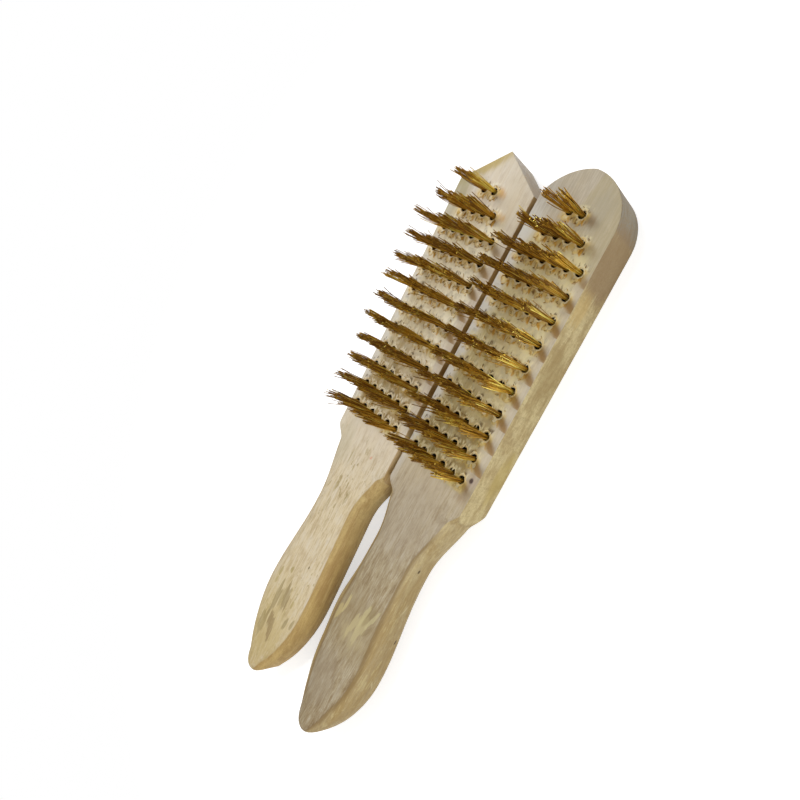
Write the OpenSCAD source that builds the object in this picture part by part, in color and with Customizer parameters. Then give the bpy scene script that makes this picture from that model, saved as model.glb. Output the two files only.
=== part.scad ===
// A pair of wooden hand wire brushes that lie side by side on their backs, wires up.
// One brush has a rounded head end and the other a pointed one. Both carry the same
// grid of brass wire tufts, each folded over a steel staple at the foot of a blind hole.
//
// Millimetres. +X runs across the boards, +Y towards the head ends, +Z up out of the
// wires. The origin is the middle of the pair's footprint, on the face it lies on.

/* [Tuft grid] */
// Rows of tufts along each head
tuft_rows = 12; // [6:1:14]
// Distance between rows
row_pitch = 10.7; // [9.6:0.1:13]
// Tufts in a full row
tufts_across = 6; // [4:2:8]
// Distance between tufts in a row
tuft_pitch = 6.0; // [5.4:0.1:7]

/* [Tufts] */
// Diameter of the drilled hole
hole_d = 3.2; // [2.8:0.1:3.6]
// Depth of the drilled hole
hole_depth = 13; // [9:0.5:15]
// Diameter of the wire bundle at the mouth of its hole
bundle_d = 2.6; // [2:0.1:2.7]
// Diameter of the bundle at its splayed tips
splay_d = 4.6; // [3:0.1:5]
// Length of wire that stands out of the board
wire_out = 23; // [15:0.5:30]
// Height of the wire fold below the staple
fold_h = 1.2; // [0.8:0.1:2]
// Clearance of the fold in its hole
fold_clearance = 0.05; // [0.02:0.01:0.1]
// Clearance between the standing wires and the folded roots, where the wires bend
bend_clearance = 0.3; // [0.2:0.05:0.5]

/* [Staples] */
// Thickness of the flat staple wire
staple_t = 0.4; // [0.3:0.05:0.6]
// Width of the staple wire, along the hole
staple_h = 1.8; // [1.2:0.1:2.4]
// How far each staple end bites into the wood beside the hole
staple_bite = 0.5; // [0.3:0.05:0.7]

/* [Boards] */
// Thickness of each board
board_t = 21.2; // [18:0.1:26]
// Round-over of the handle's long edges
handle_round = 9.6; // [4:0.2:10]
// Round-over of the handle tips
tip_over = 7; // [4:0.5:8]
// Easing left on the edges where the round-over starts
edge_break = 0.3; // [0.2:0.1:0.6]
// How far below the start of the shoulder the round-over starts
round_start = 0; // [0:0.5:6]
// Length over which the round-over grows to its full size
round_grow = 9; // [6:0.5:24]
// Width of the blunt nose at the handle tips
nose_w = 3.2; // [2:0.1:5]

/* [Round brush] */
// Wood beside the outermost tufts, on the side that faces the other brush
round_inner_margin = 5.6; // [4.5:0.1:9]
// Wood beside the outermost tufts, on the outer side at the shoulder
round_outer_margin = 8.2; // [4.5:0.1:9]
// How much the outer side comes in from the shoulder to the head end
round_side_taper = 3.2; // [0:0.1:4]
// Radius of the two arcs that shape the head end
round_end_r = 23.5; // [22:0.5:28]
// Distance between the centres of the two arcs
round_end_spread = 4.7; // [2:0.1:6]
// Wood beyond the first row, up to the top of the head end
round_end_margin = 18.8; // [17:0.1:24]
// Wood behind the last row, down to the start of the shoulder
round_shoulder_margin = 11.7; // [10:0.1:22]
// Length of the shoulder curve, down to the neck
round_shoulder_run = 37.5; // [26:1:44]
// Length from the neck to the widest part of the handle
round_belly_run = 59; // [46:1:70]
// Length from the widest part of the handle to its tip
round_tip_run = 41.8; // [34:0.5:56]
// Width of the neck
round_neck_w = 29.4; // [24:0.1:34]
// Width of the handle at its widest
round_belly_w = 37; // [32:0.1:42]
// Sideways lie of the neck against the tuft grid
round_neck_shift = 2.3; // [-3:0.1:3]
// Sideways lie of the widest part of the handle against the tuft grid
round_belly_shift = 4.9; // [-5:0.1:5]

/* [Pointed brush] */
// Wood beside the outermost tufts, on the side that faces the other brush
pointed_inner_margin = 8.4; // [4.5:0.1:9]
// Wood beside the outermost tufts, on the outer side
pointed_outer_margin = 4.9; // [4.5:0.1:9]
// Height of the pointed head end, from its corners to its peak
pointed_end_h = 16.8; // [10:0.1:18]
// Wood beyond the first row, up to the peak of the head end
pointed_end_margin = 19.1; // [17:0.1:24]
// Wood behind the last row, down to the start of the shoulder
pointed_shoulder_margin = 13.2; // [10:0.1:22]
// Length of the shoulder curve, down to the neck
pointed_shoulder_run = 39; // [26:1:44]
// Length from the neck to the widest part of the handle
pointed_belly_run = 57; // [46:1:70]
// Length from the widest part of the handle to its tip
pointed_tip_run = 47.8; // [34:0.5:56]
// Width of the neck
pointed_neck_w = 30.3; // [24:0.1:34]
// Width of the handle at its widest
pointed_belly_w = 39.4; // [32:0.1:42]
// Sideways lie of the neck against the tuft grid
pointed_neck_shift = 0.3; // [-3:0.1:3]
// Sideways lie of the widest part of the handle against the tuft grid
pointed_belly_shift = -0.2; // [-5:0.1:5]

/* [Pair] */
// Least gap between the two boards
pair_gap = 0.5; // [0.4:0.1:6]
// Turn of the pointed brush against the round one, in degrees
pair_turn = 1.15; // [0:0.05:2]
// How far the pointed brush's tuft grid lies behind the round one's
pair_slip = 0.9; // [-3:0.1:3]

/* [Hidden] */
$fn = 48;

// Segments around each rounded corner of a handle section, and sections per stretch
corner_steps = 5;
neck_sections = 12;
tip_sections = 9;
// Shape of the tapering tip: the two powers of its outline
tip_power = 1.8;
tip_round = 0.66;
// A corner radius stays this share under the half width of its section
corner_share = 0.96;

// The tuft grid
field_end_y = (tuft_rows - 1) / 2 * row_pitch;
field_half = (tufts_across - 1) / 2 * tuft_pitch;
function tufts_in(row) = min(tufts_across, 2 * row);
function row_y(row) = field_end_y - (row - 1) * row_pitch;
function tuft_x(row, col) = (col - (tufts_in(row) - 1) / 2) * tuft_pitch;

// Cuts run this far past the face they open
cut_past = 1;

// Levels inside a hole, from the face the brush lies on
hole_floor = board_t - hole_depth;
staple_z = hole_floor + fold_h;
root_top = board_t - bundle_d / 2 - bend_clearance;
staple_len = hole_d + 2 * staple_bite;

// A board's edges at one place along it: [y, left x, right x]
function edges(y, middle, half) = [y, middle - half, middle + half];
function left(e) = e[1];
function right(e) = e[2];
function middle(e) = (left(e) + right(e)) / 2;
function half(e) = (right(e) - left(e)) / 2;

// A handle's four places: shoulder, neck, widest part and tip
function handle(shoulder, runs, neck, belly) =
    let (neck_y = shoulder[0] - runs[0],
         belly_y = neck_y - runs[1],
         tip_y = belly_y - runs[2])
    [shoulder,
     edges(neck_y, neck[1], neck[0] / 2),
     edges(belly_y, belly[1], belly[0] / 2),
     edges(tip_y, belly[1], nose_w / 2)];

round_handle = handle(
    [-field_end_y - round_shoulder_margin,
     -field_half - round_inner_margin,
     field_half + round_outer_margin],
    [round_shoulder_run, round_belly_run, round_tip_run],
    [round_neck_w, round_neck_shift],
    [round_belly_w, round_belly_shift]);

pointed_handle = handle(
    [-field_end_y - pointed_shoulder_margin,
     -field_half - pointed_outer_margin,
     field_half + pointed_inner_margin],
    [pointed_shoulder_run, pointed_belly_run, pointed_tip_run],
    [pointed_neck_w, pointed_neck_shift],
    [pointed_belly_w, pointed_belly_shift]);

// The board's edges at any y below the shoulder, eased between the four places
function ease(from, to, y) = (1 - cos(180 * min(1, max(0, (y - from) / (to - from))))) / 2;
function between(a, b, y) = [y, for (i = [1:2]) a[i] + (b[i] - a[i]) * ease(a[0], b[0], y)];
function tip_share(y, belly, tip) =
    let (u = (belly[0] - y) / (belly[0] - tip[0]))
    pow(max(0, 1 - pow(u, tip_power)), tip_round);
function edges_at(h, y) =
    y > h[1][0] ? between(h[0], h[1], y)
    : y > h[2][0] ? between(h[1], h[2], y)
    : edges(y, middle(h[2]), max(half(h[3]), half(h[2]) * tip_share(y, h[2], h[3])));

// Half the thickness at any y: full, then rounded over the tip
function half_height(h, y) =
    let (reach = min(tip_over, y - h[3][0]))
    board_t / 2 - tip_over + sqrt(pow(tip_over, 2) - pow(tip_over - reach, 2));

// The round-over's share of its full size, which grows smoothly below the shoulder
function round_share(h, y) =
    let (from = h[0][0] - round_start)
    ease(from, from - round_grow, y);
function corner_r(h, y, e) =
    min(edge_break + (handle_round - edge_break) * round_share(h, y),
        corner_share * half(e),
        corner_share * half_height(h, y));

// Places along a handle where it is given a section
function section_ys(h) = concat(
    [for (i = [0:neck_sections]) h[0][0] + (h[1][0] - h[0][0]) * i / neck_sections],
    [for (i = [1:neck_sections]) h[1][0] + (h[2][0] - h[1][0]) * i / neck_sections],
    [for (i = [1:tip_sections]) h[2][0] + (h[3][0] - h[2][0]) * sin(90 * i / tip_sections)]);

// One section: a rectangle with rounded corners, across the board at y
function section(h, y) =
    let (e = edges_at(h, y), tall = half_height(h, y), r = corner_r(h, y, e))
    [for (quarter = [0:3], k = [0:corner_steps])
        let (a = 90 * (quarter + k / corner_steps),
             side = quarter == 0 || quarter == 3 ? 1 : -1,
             up = quarter < 2 ? 1 : -1)
        [middle(e) + side * (half(e) - r) + r * cos(a),
         y,
         board_t / 2 + up * (tall - r) + r * sin(a)]];

// Corners of each outline, used to set the two boards side by side
function handle_corners(h) =
    [for (y = section_ys(h), side = [1, 2]) [edges_at(h, y)[side], y]];
round_arc_y = field_end_y + round_end_margin
    - sqrt(pow(round_end_r, 2) - pow(round_end_spread / 2, 2));
round_end_right = right(round_handle[0]) - round_side_taper;
round_arc_x = round_end_right - round_end_r;
round_peak = [round_arc_x + round_end_spread / 2, field_end_y + round_end_margin];
pointed_corner_y = field_end_y + pointed_end_margin - pointed_end_h;
pointed_peak = [middle(pointed_handle[0]), field_end_y + pointed_end_margin];
round_corners = concat(handle_corners(round_handle),
    [[left(round_handle[0]), round_arc_y], [round_end_right, round_arc_y], round_peak]);
pointed_corners = concat(handle_corners(pointed_handle),
    [[left(pointed_handle[0]), pointed_corner_y],
     [right(pointed_handle[0]), pointed_corner_y],
     pointed_peak]);

// Where the two brushes lie
function turned(p) = [p[0] * cos(pair_turn) - p[1] * sin(pair_turn),
                      p[0] * sin(pair_turn) + p[1] * cos(pair_turn)];
pointed_turned = [for (p = pointed_corners) turned(p)];
pair_step = max([for (p = pointed_turned) p[0]]) - min([for (p = round_corners) p[0]]) + pair_gap;
pair_corners = concat(round_corners, [for (p = pointed_turned) p - [pair_step, pair_slip]]);
pair_low = [for (i = [0:1]) min([for (p = pair_corners) p[i]])];
pair_high = [for (i = [0:1]) max([for (p = pair_corners) p[i]])];
pair_middle = (pair_low + pair_high) / 2;

module round_place() {
    translate([-pair_middle[0], -pair_middle[1], 0])
        children();
}

module pointed_place() {
    translate([-pair_middle[0] - pair_step, -pair_middle[1] - pair_slip, 0])
        rotate([0, 0, pair_turn])
            children();
}

// Puts its children at every tuft of one row, or of the whole grid
module along_row(row) {
    for (col = [0:tufts_in(row) - 1])
        translate([tuft_x(row, col), row_y(row), 0])
            children();
}

module over_grid() {
    for (row = [1:tuft_rows])
        along_row(row)
            children();
}

// A blind hole with the two grooves that its staple cuts on the way in
module tuft_hole() {
    translate([0, 0, hole_floor])
        cylinder(d = hole_d, h = hole_depth + cut_past);
    translate([-staple_len / 2, -staple_t / 2, staple_z])
        cube([staple_len, staple_t, board_t - staple_z + cut_past]);
}

module staple() {
    translate([-staple_len / 2, -staple_t / 2, staple_z])
        cube([staple_len, staple_t, staple_h]);
}

// The folded end of a tuft, gripped in its hole by the staple
module wire_root() {
    difference() {
        union() {
            translate([0, 0, hole_floor])
                cylinder(d = hole_d - 2 * fold_clearance, h = fold_h + staple_h);
            translate([0, 0, hole_floor])
                cylinder(d = bundle_d, h = root_top - hole_floor);
        }
        staple();
    }
}

// The standing wires of a tuft, which bend about the mouth of the hole
module standing_wires() {
    translate([0, 0, board_t]) {
        sphere(d = bundle_d);
        cylinder(d1 = bundle_d, d2 = splay_d, h = wire_out);
    }
}

// The shaped handle, from the shoulder to the tip
module handle_body(h) {
    ys = section_ys(h);
    per = 4 * (corner_steps + 1);
    last = len(ys) - 1;
    points = [for (y = ys) each section(h, y)];
    walls = [for (s = [0:last - 1], k = [0:per - 1])
        [s * per + k, (s + 1) * per + k, (s + 1) * per + (k + 1) % per, s * per + (k + 1) % per]];
    head_face = [for (k = [0:per - 1]) k];
    nose_face = [for (k = [per - 1:-1:0]) last * per + k];
    polyhedron(points, concat([head_face, nose_face], walls));
}

module round_head() {
    shoulder = round_handle[0];
    linear_extrude(board_t)
        intersection() {
            polygon([[left(shoulder), shoulder[0]],
                     [right(shoulder), shoulder[0]],
                     [round_end_right, round_arc_y],
                     [round_end_right, round_peak[1]],
                     [left(shoulder), round_peak[1]]]);
            arc_tongue(round_arc_x);
            arc_tongue(round_arc_x + round_end_spread);
        }
}

// A long tongue with a round end, as wide as the arc's circle or wider
module arc_tongue(x) {
    translate([x, round_arc_y])
        circle(r = round_end_r);
    translate([x - 2 * round_end_r, round_handle[0][0]])
        square([4 * round_end_r, round_arc_y - round_handle[0][0]]);
}

module pointed_head() {
    shoulder = pointed_handle[0];
    linear_extrude(board_t)
        polygon([[left(shoulder), shoulder[0]],
                 [right(shoulder), shoulder[0]],
                 [right(shoulder), pointed_corner_y],
                 pointed_peak,
                 [left(shoulder), pointed_corner_y]]);
}

module round_block() {
    color([0.75, 0.70, 0.60])
        round_place()
            difference() {
                union() {
                    round_head();
                    handle_body(round_handle);
                }
                over_grid() tuft_hole();
            }
}

module pointed_block() {
    color([0.84, 0.78, 0.68])
        pointed_place()
            difference() {
                union() {
                    pointed_head();
                    handle_body(pointed_handle);
                }
                over_grid() tuft_hole();
            }
}

module round_staples() {
    color([0.62, 0.62, 0.64])
        round_place() over_grid() staple();
}

module pointed_staples() {
    color([0.62, 0.62, 0.64])
        pointed_place() over_grid() staple();
}

module round_root_row(row) {
    color([0.50, 0.37, 0.14])
        round_place() along_row(row) wire_root();
}

module pointed_root_row(row) {
    color([0.50, 0.37, 0.14])
        pointed_place() along_row(row) wire_root();
}

module round_wire_row(row) {
    color([0.55, 0.42, 0.15])
        round_place() along_row(row) standing_wires();
}

module pointed_wire_row(row) {
    color([0.55, 0.42, 0.15])
        pointed_place() along_row(row) standing_wires();
}

// Node names: one node for each board, each brush's staples, and each row of wires
function numbered(name, row) = str(name, row < 10 ? "_0" : "_", row);

round_block();
pointed_block();
round_staples();
pointed_staples();
for (row = [1:tuft_rows]) {
    round_wire_row(row);
    round_root_row(row);
    pointed_wire_row(row);
    pointed_root_row(row);
}
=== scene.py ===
"""Two wooden-handled brass wire hand brushes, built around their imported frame.

Each brush is one wooden board with drilled tuft holes, the torn wood around the holes,
rows of folded brass wires and the staples that hold them. Lengths are in millimetres in
each brush's own coordinates: x across the board, y towards the head end, z up from the
face that carries the wires. BrushPlace turns them into metres in the row's frame.
"""

import logging
import math
import random
from dataclasses import dataclass, field
from enum import Enum
from typing import Iterator, Union

import bmesh
import bpy
from mathutils import Matrix, Vector, noise


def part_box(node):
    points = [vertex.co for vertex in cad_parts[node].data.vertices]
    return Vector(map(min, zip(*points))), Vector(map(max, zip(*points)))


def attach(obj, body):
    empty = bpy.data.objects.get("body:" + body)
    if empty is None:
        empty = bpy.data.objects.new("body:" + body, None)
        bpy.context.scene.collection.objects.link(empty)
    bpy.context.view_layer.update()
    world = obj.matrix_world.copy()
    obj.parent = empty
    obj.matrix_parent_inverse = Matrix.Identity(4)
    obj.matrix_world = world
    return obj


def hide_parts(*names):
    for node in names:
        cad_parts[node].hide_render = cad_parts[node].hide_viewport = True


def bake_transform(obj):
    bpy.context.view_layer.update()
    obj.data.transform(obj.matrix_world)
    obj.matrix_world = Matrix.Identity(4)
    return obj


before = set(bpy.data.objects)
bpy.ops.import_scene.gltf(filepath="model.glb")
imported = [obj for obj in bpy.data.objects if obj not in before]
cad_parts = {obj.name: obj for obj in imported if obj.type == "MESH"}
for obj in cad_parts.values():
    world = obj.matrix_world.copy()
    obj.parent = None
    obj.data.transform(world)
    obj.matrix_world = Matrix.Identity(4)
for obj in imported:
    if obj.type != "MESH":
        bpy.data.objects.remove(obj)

LOG = logging.getLogger("hand_brushes")
MM = 0.001
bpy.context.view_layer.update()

Chip = tuple[int, int, int]
Number = Union["Value", float]
Socket = bpy.types.NodeSocket
Material = bpy.types.Material
Piece = bpy.types.Object
Shape = bmesh.types.BMesh
Point = bmesh.types.BMVert
WHITE = (1.0, 1.0, 1.0, 1.0)


def linear(chip: Chip) -> tuple[float, float, float, float]:
    """Turn a paint chip into the scene-linear colour that a shader takes.

    Args:
        chip: Red, green and blue, each 0 to 255, as a colour chart gives them.

    Returns:
        Red, green, blue and alpha, each 0 to 1.
    """
    parts = [c / 255 for c in chip]
    light = [p / 12.92 if p <= 0.04045 else ((p + 0.055) / 1.055) ** 2.4 for p in parts]
    return (light[0], light[1], light[2], 1.0)


def clipped(share: float) -> float:
    """Keep a share between 0 and 1."""
    return min(1.0, max(0.0, share))


def eased(share: float) -> float:
    """Turn a share of a way into one that starts and ends gently."""
    return (1 - math.cos(math.pi * share)) / 2


# --------------------------------------------------------------------------- shader maths


@dataclass(frozen=True)
class Value:
    """A socket that carries a number, with the operators that shader maths needs."""

    paint: "Paint"
    socket: Socket

    def __add__(self, other: Number) -> "Value":
        """Add a number or another value."""
        return self.paint.maths("ADD", self, other)

    __radd__ = __add__

    def __sub__(self, other: Number) -> "Value":
        """Take a number or another value away."""
        return self.paint.maths("SUBTRACT", self, other)

    def __rsub__(self, other: Number) -> "Value":
        """Take this value away from a number."""
        return self.paint.maths("SUBTRACT", other, self)

    def __mul__(self, other: Number) -> "Value":
        """Multiply by a number or another value."""
        return self.paint.maths("MULTIPLY", self, other)

    __rmul__ = __mul__

    def __truediv__(self, other: Number) -> "Value":
        """Divide by a number or another value."""
        return self.paint.maths("DIVIDE", self, other)

    def __abs__(self) -> "Value":
        """Drop the sign."""
        return self.paint.maths("ABSOLUTE", self)

    def root(self) -> "Value":
        """Take the square root."""
        return self.paint.maths("SQRT", self)

    def fraction(self) -> "Value":
        """Keep what is left after the whole part."""
        return self.paint.maths("FRACT", self)

    def most(self, other: Number) -> "Value":
        """Keep the larger of two."""
        return self.paint.maths("MAXIMUM", self, other)

    def step(self, low: float, high: float) -> "Value":
        """Rise smoothly from 0 at low to 1 at high, or fall where low is the larger."""
        node = self.paint.node(
            "ShaderNodeMapRange",
            {"interpolation_type": "SMOOTHSTEP"},
            {"Value": self, "From Min": low, "From Max": high},
        )
        return Value(self.paint, node.outputs[0])


@dataclass(frozen=True)
class Pattern:
    """One noise pattern: how it is stretched and shifted, and how fine and rough it is."""

    stretch: tuple[float, float, float]
    shift: float
    scale: float
    detail: float
    rough: float = 0.5
    warp: float = 0.0
    grown: bool = False


class Paint:
    """The nodes of one procedural material or of the world, and the methods that add them."""

    def __init__(self, name: str, world: bpy.types.World | None = None) -> None:
        """Start without nodes.

        Args:
            name: The material's name.
            world: The world that takes the nodes, if no material does.
        """
        self.material = world or bpy.data.materials.new(name)
        self.material.use_nodes = True
        self.tree = self.material.node_tree
        self.tree.nodes.clear()

    def node(
        self,
        kind: str,
        settings: dict[str, object] | None = None,
        inputs: dict[str | int, object] | None = None,
    ) -> bpy.types.Node:
        """Add a node.

        Args:
            kind: The node's type.
            settings: Its own settings, which are set first.
            inputs: For each socket, by name or place, a value, a Value or a socket to link.

        Returns:
            The node.
        """
        made = self.tree.nodes.new(kind)
        for key, setting in (settings or {}).items():
            setattr(made, key, setting)
        for key, given in (inputs or {}).items():
            source = given.socket if isinstance(given, Value) else given
            if isinstance(source, Socket):
                self.tree.links.new(source, made.inputs[key])
            else:
                made.inputs[key].default_value = source
        return made

    def maths(self, operation: str, *terms: Number) -> Value:
        """Add a Math node.

        Args:
            operation: The node's operation.
            terms: One or two numbers or values.

        Returns:
            The node's result.
        """
        made = self.node("ShaderNodeMath", {"operation": operation}, dict(enumerate(terms)))
        return Value(self, made.outputs[0])

    def split(self, vector: Socket) -> tuple[Value, Value, Value]:
        """Take a vector apart into its three values."""
        made = self.node("ShaderNodeSeparateXYZ", None, {0: vector})
        return tuple(Value(self, out) for out in made.outputs[:3])

    def noise(self, vector: Socket, pattern: Pattern, wood: float = 0.0) -> Value:
        """Add a noise pattern.

        Args:
            vector: Where the pattern is read.
            pattern: The pattern.
            wood: How far one board's grain is shifted, which a grown pattern follows.

        Returns:
            A value that lies mostly between 0.3 and 0.7.
        """
        shift = pattern.shift + wood * pattern.grown
        where = self.node(
            "ShaderNodeMapping",
            {"vector_type": "POINT"},
            {"Vector": vector, "Scale": pattern.stretch, "Location": (shift, shift * 0.7, shift * 1.3)},
        )
        made = self.node(
            "ShaderNodeTexNoise",
            {"noise_dimensions": "3D"},
            {
                "Vector": where.outputs[0],
                "Scale": pattern.scale,
                "Detail": pattern.detail,
                "Roughness": pattern.rough,
                "Distortion": pattern.warp,
            },
        )
        return Value(self, made.outputs[0])

    def where(self) -> Socket:
        """The Object coordinates."""
        return self.node("ShaderNodeTexCoord").outputs["Object"]

    def attribute(self, name: str) -> Value:
        """Read a number that the mesh carries at its points."""
        made = self.node("ShaderNodeAttribute", {"attribute_name": name, "attribute_type": "GEOMETRY"})
        return Value(self, made.outputs["Fac"])

    def lay(self, colour: Socket | Chip, *coats: tuple[Number, Socket | Chip]) -> Socket:
        """Lay coats over a colour.

        Args:
            colour: What lies under them.
            coats: How much of each coat shows, 0 to 1, and its colour, from the lowest up.

        Returns:
            The colour that shows in the end.
        """
        for amount, coat in coats:
            under, over = (linear(c) if isinstance(c, tuple) else c for c in (colour, coat))
            made = self.node(
                "ShaderNodeMix", {"data_type": "RGBA", "clamp_factor": True}, {0: amount, 6: under, 7: over}
            )
            colour = made.outputs[2]
        return colour

    def blend(self, amount: Value, under: bpy.types.Node, over: bpy.types.Node) -> bpy.types.Node:
        """Blend two shaders.

        Args:
            amount: How much of the second shows, 0 to 1.
            under: The first shader.
            over: The second shader.

        Returns:
            The blended shader.
        """
        return self.node("ShaderNodeMixShader", None, {0: amount, 1: under.outputs[0], 2: over.outputs[0]})

    def finish(self, height: Value, depth: float, strength: float, **inputs: object) -> Material:
        """Close the material with its shader, bump and output.

        Args:
            height: The relief.
            depth: How deep the relief is where height is 1, in millimetres.
            strength: How much of the relief shows.
            inputs: The shader's sockets, with underscores for spaces.

        Returns:
            The finished material.
        """
        relief = {"Height": height, "Distance": depth * MM, "Strength": strength}
        bump = self.node("ShaderNodeBump", None, relief)
        links = {key.replace("_", " "): given for key, given in inputs.items()}
        links["Normal"] = bump.outputs[0]
        shader = self.node("ShaderNodeBsdfPrincipled", None, links)
        self.node("ShaderNodeOutputMaterial", None, {"Surface": shader.outputs[0]})
        return self.material


# --------------------------------------------------------------------------- where things are


@dataclass(frozen=True)
class BrushPlace:
    """Where one brush lies: the middle of its tuft grid on the wired face, and its turn."""

    name: str
    origin: Vector
    turn: float
    rows: tuple[Vector, ...]

    @classmethod
    def of(cls, name: str, row_count: int) -> "BrushPlace":
        """Find a brush's place from the frame.

        Args:
            name: The first word of the brush's nodes.
            row_count: How many rows of tufts it has.

        Returns:
            The brush's place.
        """
        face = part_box(f"{name}_block")[1].z
        rows = []
        for row in range(1, row_count + 1):
            low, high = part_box(f"{name}_wire_row_{row:02d}")
            rows.append(Vector(((low.x + high.x) / 2, (low.y + high.y) / 2, face)))
        along = rows[0] - rows[-1]
        return cls(name, (rows[0] + rows[-1]) / 2, math.atan2(-along.x, along.y), tuple(rows))

    @property
    def matrix(self) -> Matrix:
        """The brush's own millimetres to the row's metres."""
        return Matrix.Translation(self.origin) @ Matrix.Rotation(self.turn, 4, "Z") @ Matrix.Scale(MM, 4)

    def own(self, paint: Paint, source: Socket) -> Socket:
        """Turn Object coordinates into the brush's own millimetres."""
        made = paint.node(
            "ShaderNodeMapping",
            {"vector_type": "TEXTURE"},
            {
                "Vector": source,
                "Location": tuple(self.origin),
                "Rotation": (0.0, 0.0, self.turn),
                "Scale": (MM, MM, MM),
            },
        )
        return made.outputs[0]


@dataclass(frozen=True)
class TuftGrid:
    """The grid of tuft holes that both brushes share."""

    rows: int = 12
    row_pitch: float = 10.7
    across: int = 6
    pitch: float = 6.0
    hole_d: float = 3.2
    hole_depth: float = 13.0
    late_from: int = 6
    late_over: float = 3.5

    @property
    def end_y(self) -> float:
        """The first row's distance from the middle of the grid."""
        return (self.rows - 1) / 2 * self.row_pitch

    def tufts_in(self, row: int) -> int:
        """How many tufts a row has, counted from 1 at the head end."""
        return min(self.across, 2 * row)

    def row_y(self, row: int) -> float:
        """A row's place along the board."""
        return self.end_y - (row - 1) * self.row_pitch

    def tuft_x(self, row: int, column: int) -> float:
        """A tuft's place across the board."""
        return (column - (self.tufts_in(row) - 1) / 2) * self.pitch

    def late(self, row: int) -> float:
        """0 in the rows near the head end and 1 in those near the handle."""
        return clipped((row - self.late_from) / self.late_over)

    def places(self, row: int) -> list[tuple[float, float]]:
        """The middles of one row's holes."""
        return [(self.tuft_x(row, c), self.row_y(row)) for c in range(self.tufts_in(row))]

    def holes(self) -> Iterator[tuple[int, float, float]]:
        """Each hole's row and middle."""
        for row in range(1, self.rows + 1):
            for x, y in self.places(row):
                yield row, x, y


# --------------------------------------------------------------------------- mesh helpers


def linked(name: str, data: bpy.types.ID) -> Piece:
    """Make an object of a mesh, a curve, a camera or a lamp, and put it in the scene."""
    made = bpy.data.objects.new(name, data)
    bpy.context.scene.collection.objects.link(made)
    return made


def edges_among(points: list[Point]) -> list[bmesh.types.BMEdge]:
    """The edges that join the points of a loop."""
    return list({e for point in points for e in point.link_edges if e.other_vert(point) in points})


def extruded(shape: Shape, points: list[Point]) -> list[Point]:
    """Extrude a loop by its edges.

    Args:
        shape: The bmesh that holds it.
        points: The loop's points.

    Returns:
        The points of the new loop, where the old ones are.
    """
    made = bmesh.ops.extrude_edge_only(shape, edges=edges_among(points))["geom"]
    return [g for g in made if isinstance(g, Point)]


def new_piece(name: str, shape: Shape, place: Matrix | None = None) -> Piece:
    """Make an object of a finished bmesh.

    Args:
        name: The piece's name.
        shape: The bmesh, which is freed.
        place: The change from the shape's own lengths to metres in the row's frame.

    Returns:
        The object, at the origin and unturned, with its place in its mesh.
    """
    if place is not None:
        bmesh.ops.transform(shape, matrix=place, verts=shape.verts)
    mesh = bpy.data.meshes.new(name)
    shape.to_mesh(mesh)
    shape.free()
    return linked(name, mesh)


def settle(piece: Piece) -> None:
    """Put a piece's modifiers into its mesh."""
    graph = bpy.context.evaluated_depsgraph_get()
    graph.update()
    whole = piece.evaluated_get(graph)
    done = bpy.data.meshes.new_from_object(whole, preserve_all_data_layers=True, depsgraph=graph)
    old = piece.data
    piece.modifiers.clear()
    piece.data = done
    done.name = piece.name
    bpy.data.meshes.remove(old)


def cut(piece: Piece, tool: Piece) -> None:
    """Cut one piece with another, which is then removed."""
    knife = piece.modifiers.new("cut", "BOOLEAN")
    knife.operation = "DIFFERENCE"
    knife.solver = "EXACT"
    knife.object = tool
    settle(piece)
    bpy.data.objects.remove(tool)


def dress(piece: Piece, material: Material, angle: float | None = None) -> None:
    """Give a piece its material and its shading.

    Args:
        piece: The piece.
        material: Its only material.
        angle: Edges sharper than this many degrees stay sharp, or None to smooth them all.
    """
    piece.data.materials.clear()
    piece.data.materials.append(material)
    piece.data.shade_smooth()
    if angle is not None:
        piece.data.set_sharp_from_angle(angle=math.radians(angle))


def report(piece: Piece) -> None:
    """Log a piece's name and size."""
    LOG.info("%s: %d vertices, %d faces", piece.name, len(piece.data.vertices), len(piece.data.polygons))


# --------------------------------------------------------------------------- the wooden board


class HeadEnd(Enum):
    """How a board's head end is shaped."""

    ROUNDED = "two overlapping arcs"
    POINTED = "two straight cuts to a peak"


@dataclass(frozen=True)
class Station:
    """One place along a board: how far along it is, and where its edges are."""

    y: float
    left: float
    right: float

    @property
    def middle(self) -> float:
        """Halfway between the edges."""
        return (self.left + self.right) / 2

    @property
    def half(self) -> float:
        """Half the width."""
        return (self.right - self.left) / 2

    def eased_to(self, other: "Station", y: float) -> "Station":
        """The edges at y on the smooth curve from here to another place."""
        bend = eased(clipped((y - self.y) / (other.y - self.y)))
        return self.toward(other, bend, y)

    def toward(self, other: "Station", share: float, y: float) -> "Station":
        """The edges at y, a share of the way from here to another place's edges."""
        left = self.left + (other.left - self.left) * share
        right = self.right + (other.right - self.right) * share
        return Station(y, left, right)


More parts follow.
